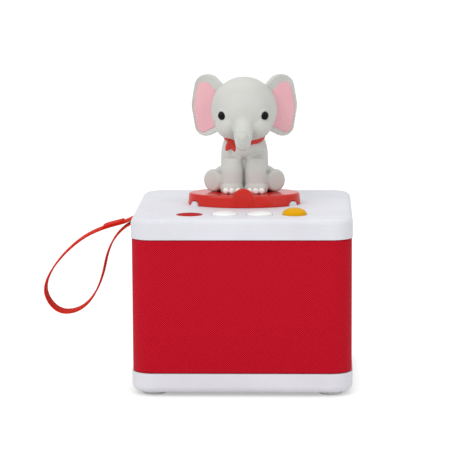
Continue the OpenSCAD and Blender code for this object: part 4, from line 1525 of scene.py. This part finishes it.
@dataclass
class Elephant:
    """The seated toy elephant on the stand, of the builder's own plain design."""

    floor: float = 103.5
    body_y: float = 8.5
    body_height: float = 35
    body_radius: float = 13.3
    head: Triple = (0, 3.5, 149.5)
    head_radius: float = 18.5
    # Place of a front leg along X and Y, and its radius; the same for a hind leg below
    leg: Triple = (6.6, 0.5, 6.5)
    leg_height: float = 22
    leg_step: float = 1.2
    flatness: float = 0.78
    hind: Triple = (18.3, 2, 6.3)
    hind_length: float = 12
    hind_turn: float = 35
    haunch: float = 7.5
    nail: float = 1.5
    eye: float = 2.5
    eye_turn: float = 40
    eye_dip: float = 6
    ear_root: Triple = (14.5, 6.5, 150.5)
    ear_sweep: float = 22
    ear_thickness: float = 4
    ear_rim: float = 2.4
    ear_dish: Triple = (1.9, 0, -1.2)
    # Each lobe's place outwards and upwards from the ear's root, and its radius
    ear_lobes: tuple[Triple, ...] = (
        (6.3, 10.7, 7.8),
        (5.9, 1, 9.9),
        (7.4, -9.6, 6.6),
        (0.5, 6, 7),
        (1, -7, 6),
    )
    # Width of the rim and depth of the dish, and the same of the crown at the back
    ear_hollow: Pair = (0.4, 1.5)
    ear_crown: Pair = (2.2, 0.5)
    # How far the lining's outline lies inside the rim, and its front and back in the ear
    lining: Triple = (0.7, 1.05, 2.0)
    # Radius of the neckerchief's ring, and its middle along Y and Z
    scarf_ring: Triple = (9.8, 6.8, 134.4)
    scarf_tilt: float = 13
    voxel: float = 0.42
    body_back: float = 2
    # Where the body is widest, how far it reaches from there, and how full it is
    barrel: Triple = (0.42, 0.6, 3.2)
    barrel_steps: int = 14
    leg_sunk: float = 0.3
    chest: Lump = Lump("chest", 8, (0, -4.5, 24.5), (1.25, 1, 0.85))
    paw: Lump = Lump("foot", 5.9, (0, -1.1, 2.7), (1.08, 1.05, 0.78))
    bridge: Lump = Lump("bridge", 5.2, (0, -13.5, -3.5), (1, 1, 1.45))
    chin: Lump = Lump("chin", 4.6, (0, -11.5, -13), (1.2, 1, 0.8))
    cheek: Lump = Lump("cheek", 7.5, (8, -9.2, -7.5))
    eye_sink: float = 0.45
    # How far the lid's ring lies outside the eye, and its thickness as a radius
    eye_lid: Pair = (0.35, 0.75)
    # Radius at the root, and how much of it is lost towards the tip
    trunk: Pair = (6.4, 3.4)
    trunk_steps: int = 48
    trunk_bend: Bend = Bend((-9.25, -4), (-28.5, -12), -155, 118, 15, 13)
    ridges: int = 9
    ridge: float = 0.035
    trunk_tip: float = 3.05
    # Radius, distance ahead of the trunk's end, and distance to each side
    nostril: Triple = (0.8, 3.0, 1.15)
    nail_turns: tuple[float, ...] = (-32, 0, 32)
    # How far the nails lie inside the leg's face, ahead of it, and above the floor
    nail_place: Triple = (0.35, 0.9, 0.2)
    nail_swell: float = 0.1
    nail_stretch: Triple = (1.05, 0.9, 1.1)
    tail_radius: float = 1.05
    tail_steps: int = 12
    tail_bend: Bend = Bend((11.7, 9), (14.1, 2.8), 20, -110, 3, 4)
    tuft: float = 1.6
    strands: int = 3
    strand_steps: int = 96
    strand_radius: float = 1.25
    twists: int = 7
    twist_reach: float = 0.8
    knot_turn: float = -40
    knot: float = 2.3
    end_radius: float = 1.7
    end_widths: tuple[float, ...] = (0.55, 0.75, 0.95, 1.05, 1.0, 0.85, 0.6, 0.3)

    def leg_profile(self, radius: float, height: float) -> list[Pair]:
        """Draws half of a leg's section, with a round foot at its lower end.

        Args:
            radius: The leg's radius.
            height: Its length.

        Returns:
            Radius and height of each point.
        """
        foot = [
            (radius * (0.86 + 0.16 * sin(radians(30 * k))), radius * 0.1 * k)
            for k in range(7)
        ]
        sides = ((0.93, 0.6), (0.74, 0.9))
        shank = [(radius * wide, height * high) for wide, high in sides]
        return [(0, 0), *foot, (radius * 0.92, radius), *shank, (0, height)]

    def body(self) -> Piece:
        """Makes the body and the four legs as one soft form, cut flat where it sits.

        Returns:
            The body.
        """
        barrel = [(0.0, -1.0)]
        widest, spread, full = self.barrel
        for k in range(self.barrel_steps + 1):
            t = k / self.barrel_steps
            narrow = sqrt(1 - (abs(t - widest) / spread) ** full)
            barrel.append((self.body_radius * narrow, self.body_height * t - (1 if k == 0 else 0)))
        barrel.append((0, self.body_height))
        place = shift(0, self.body_y + self.body_back, self.floor)
        flat = Matrix.Diagonal((1, self.flatness, 1, 1))
        forms = [settle(turned("torso", barrel, Vector()), place @ flat)]
        forms.append(self.chest.build(0, self.body_y, self.floor))
        x, y, r = self.leg
        hind_x, hind_y, hind_r = self.hind
        for side in (-1, 1):
            upright = self.leg_profile(r, self.leg_height)
            at = mm(side * x, y - self.leg_step, self.floor - self.leg_sunk)
            forms.append(turned("leg", upright, at))
            forms.append(self.paw.build(side * x, y - self.leg_step, self.floor))
            lying = turned("hind", self.leg_profile(hind_r, self.hind_length), Vector())
            thigh = ball("haunch", self.haunch, mm(0, 0, self.hind_length))
            place = shift(side * hind_x, hind_y, self.floor + hind_r)
            turn = Matrix.Rotation(radians(side * self.hind_turn), 4, "Z")
            tip = Matrix.Rotation(-pi / 2, 4, "X")
            forms += [settle(form, place @ turn @ tip) for form in (lying, thigh)]
        body = melted("elephant_torso", forms, self.voxel, 8)
        with editing(body):
            bpy.ops.mesh.bisect(
                plane_co=mm(0, 0, self.floor), plane_no=(0, 0, 1), use_fill=True, clear_inner=True
            )
        return rounded_shading(body, 60)

    def trunk_route(self, t: float) -> Vector:
        """Returns a point of the trunk's middle, in metres.

        Args:
            t: Share of the trunk, from 0 at its root to 1.

        Returns:
            The point.
        """
        _, y, z = self.head
        side = self.trunk_bend.at(t)
        return mm(0, y + side.x, z + side.y)

    def eye_place(self, side: int, reach: float) -> Vector:
        """Returns the middle of an eye, at a reach from the head's middle.

        Args:
            side: 1 or -1, for the side along X.
            reach: The distance, in millimetres.

        Returns:
            The point, in metres.
        """
        dip, turn = radians(self.eye_dip), radians(self.eye_turn)
        ahead = Vector((0, -cos(dip), -sin(dip)))
        return mm(*self.head) + Matrix.Rotation(side * turn, 3, "Z") @ ahead * reach * MM

    def skull(self) -> Piece:
        """Makes the head and trunk as one soft form with cheeks, lids and a small chin.

        Returns:
            The head.
        """
        r = self.head_radius
        x, y, z = self.head
        shares = [k / self.trunk_steps for k in range(self.trunk_steps + 1)]
        root, taper = self.trunk
        widths = []
        for t in shares:
            waves = sin(2 * pi * self.ridges * t) * min(1, max(0, (t - 0.25) * 5))
            widths.append((root - taper * t) / root * (1 + self.ridge * waves))
        forms = [ball("skull", r, mm(x, y, z))]
        forms.append(tube("trunk", [self.trunk_route(t) for t in shares], root, widths))
        forms.append(ball("tip", self.trunk_tip, self.trunk_route(1)))
        forms += [self.bridge.build(x, y, z), self.chin.build(x, y, z)]
        gap, lid = self.eye_lid
        for side in (-1, 1):
            forms.append(self.cheek.build(x, y, z, side))
            ring = start(
                "lid",
                bpy.ops.mesh.primitive_torus_add,
                major_radius=(self.eye + gap) * MM,
                minor_radius=lid * MM,
                major_segments=32,
                minor_segments=12,
            )
            at = self.eye_place(side, r - self.eye_sink)
            out = (at - mm(x, y, z)).to_track_quat("Z", "Y").to_matrix().to_4x4()
            forms.append(settle(ring, Matrix.Translation(at) @ out))
        skin = melted("elephant_face", forms, self.voxel, 9)
        ahead = (self.trunk_route(1) - self.trunk_route(0.94)).normalized()
        size, deep, apart = self.nostril
        end = self.trunk_route(1) + ahead * deep * MM
        nostrils = [ball("nostril", size, end + mm(side * apart, 0, 0)) for side in (-1, 1)]
        return rounded_shading(carve(skin, nostrils), 60)

    def eyes(self) -> Piece:
        """Makes the two glossy bead eyes.

        Returns:
            The eyes, as one piece.
        """
        reach = self.head_radius - self.eye_sink
        beads = [ball("bead", self.eye, self.eye_place(side, reach)) for side in (-1, 1)]
        return rounded_shading(joined("elephant_beads", beads), 180)

    def ear_slab(self, grow: float, low: float, high: float) -> Piece:
        """Makes a flat ear-shaped slab, as a tight skin round its lobes.

        Args:
            grow: How much larger than the ear's outline it is.
            low: Its front, along the ear's own depth.
            high: Its back.

        Returns:
            The slab in the ear's own place, x outwards and z up.
        """
        lobes = [
            drum("lobe", radius + grow, low, high, mm(x, 0, z), Axis.BACK)
            for x, z, radius in self.ear_lobes
        ]
        slab = joined("slab", lobes)
        with editing(slab):
            bpy.ops.mesh.convex_hull()
            bpy.ops.mesh.select_all(action="SELECT")
            bpy.ops.mesh.dissolve_limited(angle_limit=radians(1))
        return slab

    def pair(self, name: str, piece: Piece) -> Piece:
        """Puts a piece at the right ear's root and a mirrored one at the left's.

        Args:
            name: The pair's name.
            piece: The piece, in the place of ear_slab.

        Returns:
            The pair, as one piece.
        """
        x, y, z = self.ear_root
        sweep = Matrix.Rotation(radians(self.ear_sweep), 4, "Z")
        other = copied(settle(piece, shift(x, y, z) @ sweep))
        settle(other, Matrix.Diagonal((-1, 1, 1, 1)))
        with editing(other):
            bpy.ops.mesh.normals_make_consistent(inside=False)
        return joined(name, [piece, other])

    def ears(self) -> Piece:
        """Makes the ears as soft dished leaves with a thick rim.

        Returns:
            The ears, as one piece.
        """
        half = self.ear_thickness / 2
        wide, deep = self.ear_hollow
        inset, rise = self.ear_crown
        ear = self.ear_slab(0, -half, half)
        with editing(ear):
            pick(ear, Pick.FACES, lambda _, normal: normal.y < -0.9)
            bpy.ops.mesh.inset(thickness=(self.ear_rim + wide) * MM)
            bpy.ops.transform.translate(value=mm(*self.ear_dish) + mm(0, deep, 0))
            pick(ear, Pick.FACES, lambda _, normal: normal.y > 0.9)
            bpy.ops.mesh.inset(thickness=inset * MM)
            bpy.ops.transform.translate(value=mm(0, rise, 0))
        return self.pair("elephant_ear_pair", melted("ear", [ear], 0.3, 12))

    def linings(self) -> Piece:
        """Makes the pink inner faces that lie in the ears' dishes.

        Returns:
            The linings, as one piece.
        """
        half = self.ear_thickness / 2
        inside, front, back = self.lining
        lining = self.ear_slab(-self.ear_rim - inside, -half + front, -half + back)
        settle(lining, shift(*self.ear_dish))
        return self.pair("elephant_ear_pads", melted("lining", [lining], 0.35, 4))

    def nails(self) -> Piece:
        """Makes the three toenails of each front foot.

        Returns:
            The toenails, as one piece.
        """
        x, y, r = self.leg
        inside, ahead, lift = self.nail_place
        nails = []
        for side in (-1, 1):
            for turn in self.nail_turns:
                out = Matrix.Rotation(radians(turn), 3, "Z") @ mm(0, inside - r, 0)
                at = mm(side * x, y - self.leg_step - ahead, self.floor + self.nail + lift) + out
                nails.append(ball("nail", self.nail + self.nail_swell, at, self.nail_stretch))
        return rounded_shading(joined("elephant_nails", nails), 180)

    def tail(self) -> Piece:
        """Makes the tail, with a tuft at its end.

        Returns:
            The tail.
        """
        route = []
        for k in range(self.tail_steps + 1):
            side = self.tail_bend.at(k / self.tail_steps)
            route.append(mm(0, self.body_y + side.x, self.floor + side.y))
        tuft = ball("tuft", self.tuft, route[-1], (1, 1, 1.15))
        forms = [tube("tail", route, self.tail_radius), tuft]
        return melted("elephant_tail_end", forms, 0.3, 3)

    def scarf(self) -> Piece:
        """Makes the rolled neckerchief: three twisted strands round the neck, and a knot.

        Returns:
            The neckerchief.
        """
        radius, y, z = self.scarf_ring
        middle = mm(0, y, z)
        tilt = Matrix.Rotation(radians(self.scarf_tilt), 3, "X")
        strands = []
        for strand in range(self.strands):
            route = []
            for k in range(self.strand_steps):
                turn = 2 * pi * k / self.strand_steps
                twist = self.twists * turn + strand * 2 * pi / self.strands
                reach = radius + self.twist_reach * cos(twist)
                rise = self.twist_reach * sin(twist)
                at = mm(reach * sin(turn), -reach * cos(turn), rise)
                route.append(middle + tilt @ at)
            strands.append(tube("strand", route, self.strand_radius, closed=True))
        knot_turn = radians(self.knot_turn)
        out = tilt @ Vector((sin(knot_turn), -cos(knot_turn), 0))
        knot = middle + out * (radius + 1) * MM
        strands.append(ball("knot", self.knot, knot, (1.1, 1, 0.9)))
        for lean in (-0.55, 0.35):
            side = Vector((lean, -0.25, -1)).normalized()
            route = [knot + side * k * 0.9 * MM for k in range(len(self.end_widths))]
            strands.append(tube("end", route, self.end_radius, self.end_widths))
        return melted("neck_scarf", strands, 0.3, 3)

    def build(self) -> None:
        """Builds the elephant's pieces on body "figure"."""
        dress(self.body(), "figure_grey", "figure", "elephant_body")
        dress(self.skull(), "figure_grey", "figure", "elephant_head")
        dress(self.ears(), "figure_grey", "figure", "elephant_ears")
        dress(self.linings(), "ear_pink", "figure", "ear_linings")
        dress(self.eyes(), "eye_black", "figure", "elephant_eyes")
        dress(self.nails(), "nail_ivory", "figure", "elephant_toenails")
        dress(self.tail(), "figure_grey", "figure", "elephant_tail")
        dress(self.scarf(), "kerchief_red", "figure", "neckerchief")


@dataclass
class Inside:
    """The CAD nodes that stay as they are, such as boards, loudspeaker, battery and screws."""

    frame: dict[str, Any]

    def build(self) -> None:
        """Gives each CAD node the finish of its own material slot."""
        slots = {s["node"]: s["material_slot"] for s in self.frame["record"]["subparts"]}
        for name, node in self.frame["nodes"].items():
            node.data.materials.clear()
            node.data.materials.append(FINISHES[slots[name]].build())


@dataclass(frozen=True)
class Lamp:
    """One soft light.

    Attributes:
        name: Its name.
        at: Its place, in metres.
        size: Width of its square face, in metres.
        power: Its power, in watts.
    """

    name: str
    at: Triple
    size: float
    power: float


@dataclass
class Studio:
    """Plain pale floor, soft light and the camera at the photograph's angle."""

    centre: Triple = (-0.02, 0, 0.07)
    camera_at: Triple = (0.03927, -1.3033, 0.28287)
    pitch: float = 0.151
    roll: float = 0.00593
    yaw: float = 0.0371
    lens: float = 187.45
    world_strength: float = 0.62
    floor_glow: float = 0.92
    # Reach, in metres, of the painted contact shadow on the floor
    shadow_reach: float = 0.012
    lamps: list[Lamp] = field(
        default_factory=lambda: [
            Lamp("key", (-0.75, -1.0, 1.05), 0.9, 8.2),
            Lamp("fill", (1.0, -0.9, 0.6), 1.0, 2.8),
            Lamp("top", (0.0, 0.25, 1.3), 0.9, 3.6),
        ]
    )

    def seen_by(self, tree: Tree) -> Socket:
        """Returns 1 for rays of the camera, of gloss and of clear parts, and 0 for others.

        Args:
            tree: The node tree.

        Returns:
            The number's socket.
        """
        rays = add_node(tree, "LightPath")
        total: Socket | float = 0.0
        for name in ("Is Camera Ray", "Is Glossy Ray", "Is Transmission Ray"):
            total = math_step(tree, "MAXIMUM", rays.outputs[name], total)
        return total

    def world(self) -> None:
        """Makes a world that lights softly and shows white to the camera and in gloss."""
        world = bpy.data.worlds.new("studio")
        bpy.context.scene.world = world
        world.use_nodes = True
        tree = world.node_tree
        tree.nodes.clear()
        seen = self.seen_by(tree)
        light = add_node(tree, "Background", {"Strength": self.world_strength})
        white = add_node(tree, "Background", {"Strength": 1.0})
        for node in (light, white):
            node.inputs["Color"].default_value = (1, 1, 1, 1)
        inputs = {0: seen, 1: light.outputs[0], 2: white.outputs[0]}
        mix = add_node(tree, "MixShader", inputs)
        add_node(tree, "OutputWorld", {"Surface": mix.outputs[0]})

    def floor(self) -> None:
        """Makes the floor: white for the camera, with the object's shadow on it, partly from a dim
        lit layer and partly a painted contact shadow.
        """
        floor = start("studio_floor", bpy.ops.mesh.primitive_plane_add, size=12)
        material = bpy.data.materials.new("studio floor")
        material.use_nodes = True
        tree = material.node_tree
        tree.nodes.clear()
        matt = add_node(tree, "BsdfDiffuse", {"Color": (0.9, 0.9, 0.9, 1)})
        thin = add_node(tree, "BsdfDiffuse", {"Color": (0.25, 0.25, 0.25, 1)})
        # Painted contact shadow: ambient occlusion near the object darkens the floor's white glow
        # towards #B0B0B0.
        near = add_node(tree, "AmbientOcclusion", {"Distance": self.shadow_reach})
        near.samples = 16
        stops = [(0, "#B0B0B0"), (0.9, "#FFFFFF")]
        soft = add_node(tree, "ValToRGB", {"Fac": near.outputs["AO"]}, stops)
        inputs = {"Color": soft.outputs["Color"], "Strength": self.floor_glow}
        glow = add_node(tree, "Emission", inputs)
        both = add_node(tree, "AddShader", {0: thin.outputs[0], 1: glow.outputs[0]})
        inputs = {0: self.seen_by(tree), 1: matt.outputs[0], 2: both.outputs[0]}
        mix = add_node(tree, "MixShader", inputs)
        add_node(tree, "OutputMaterial", {"Surface": mix.outputs[0]})
        floor.data.materials.append(material)

    def light(self) -> None:
        """Adds the soft lamps, each turned towards the object."""
        for lamp in self.lamps:
            bpy.ops.object.light_add(type="AREA", location=lamp.at)
            made = bpy.context.object
            made.name = lamp.name
            made.data.size = lamp.size
            made.data.energy = lamp.power
            toward = Vector(self.centre) - Vector(lamp.at)
            made.rotation_euler = toward.to_track_quat("-Z", "Y").to_euler()

    def camera(self) -> None:
        """Adds the camera that was fitted to the photograph."""
        bpy.ops.object.camera_add(
            location=self.camera_at,
            rotation=(pi / 2 - self.pitch, self.roll, self.yaw),
        )
        made = bpy.context.object
        made.data.lens = self.lens
        made.data.sensor_width = 36
        bpy.context.scene.camera = made

    def build(self) -> None:
        """Builds the stage."""
        self.camera()
        self.world()
        self.floor()
        self.light()
        bpy.context.scene.view_settings.view_transform = "Standard"


def main() -> None:
    """Loads the frame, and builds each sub-assembly and the stage."""
    logging.basicConfig(level=logging.INFO, format="%(name)s: %(message)s")
    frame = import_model()
    buttons = Buttons()
    Studio().build()
    Inside(frame).build()
    Case().build(buttons.places())
    buttons.build()
    Strap().build()
    Stand().build()
    Elephant().build()


if __name__ == "__main__":
    main()
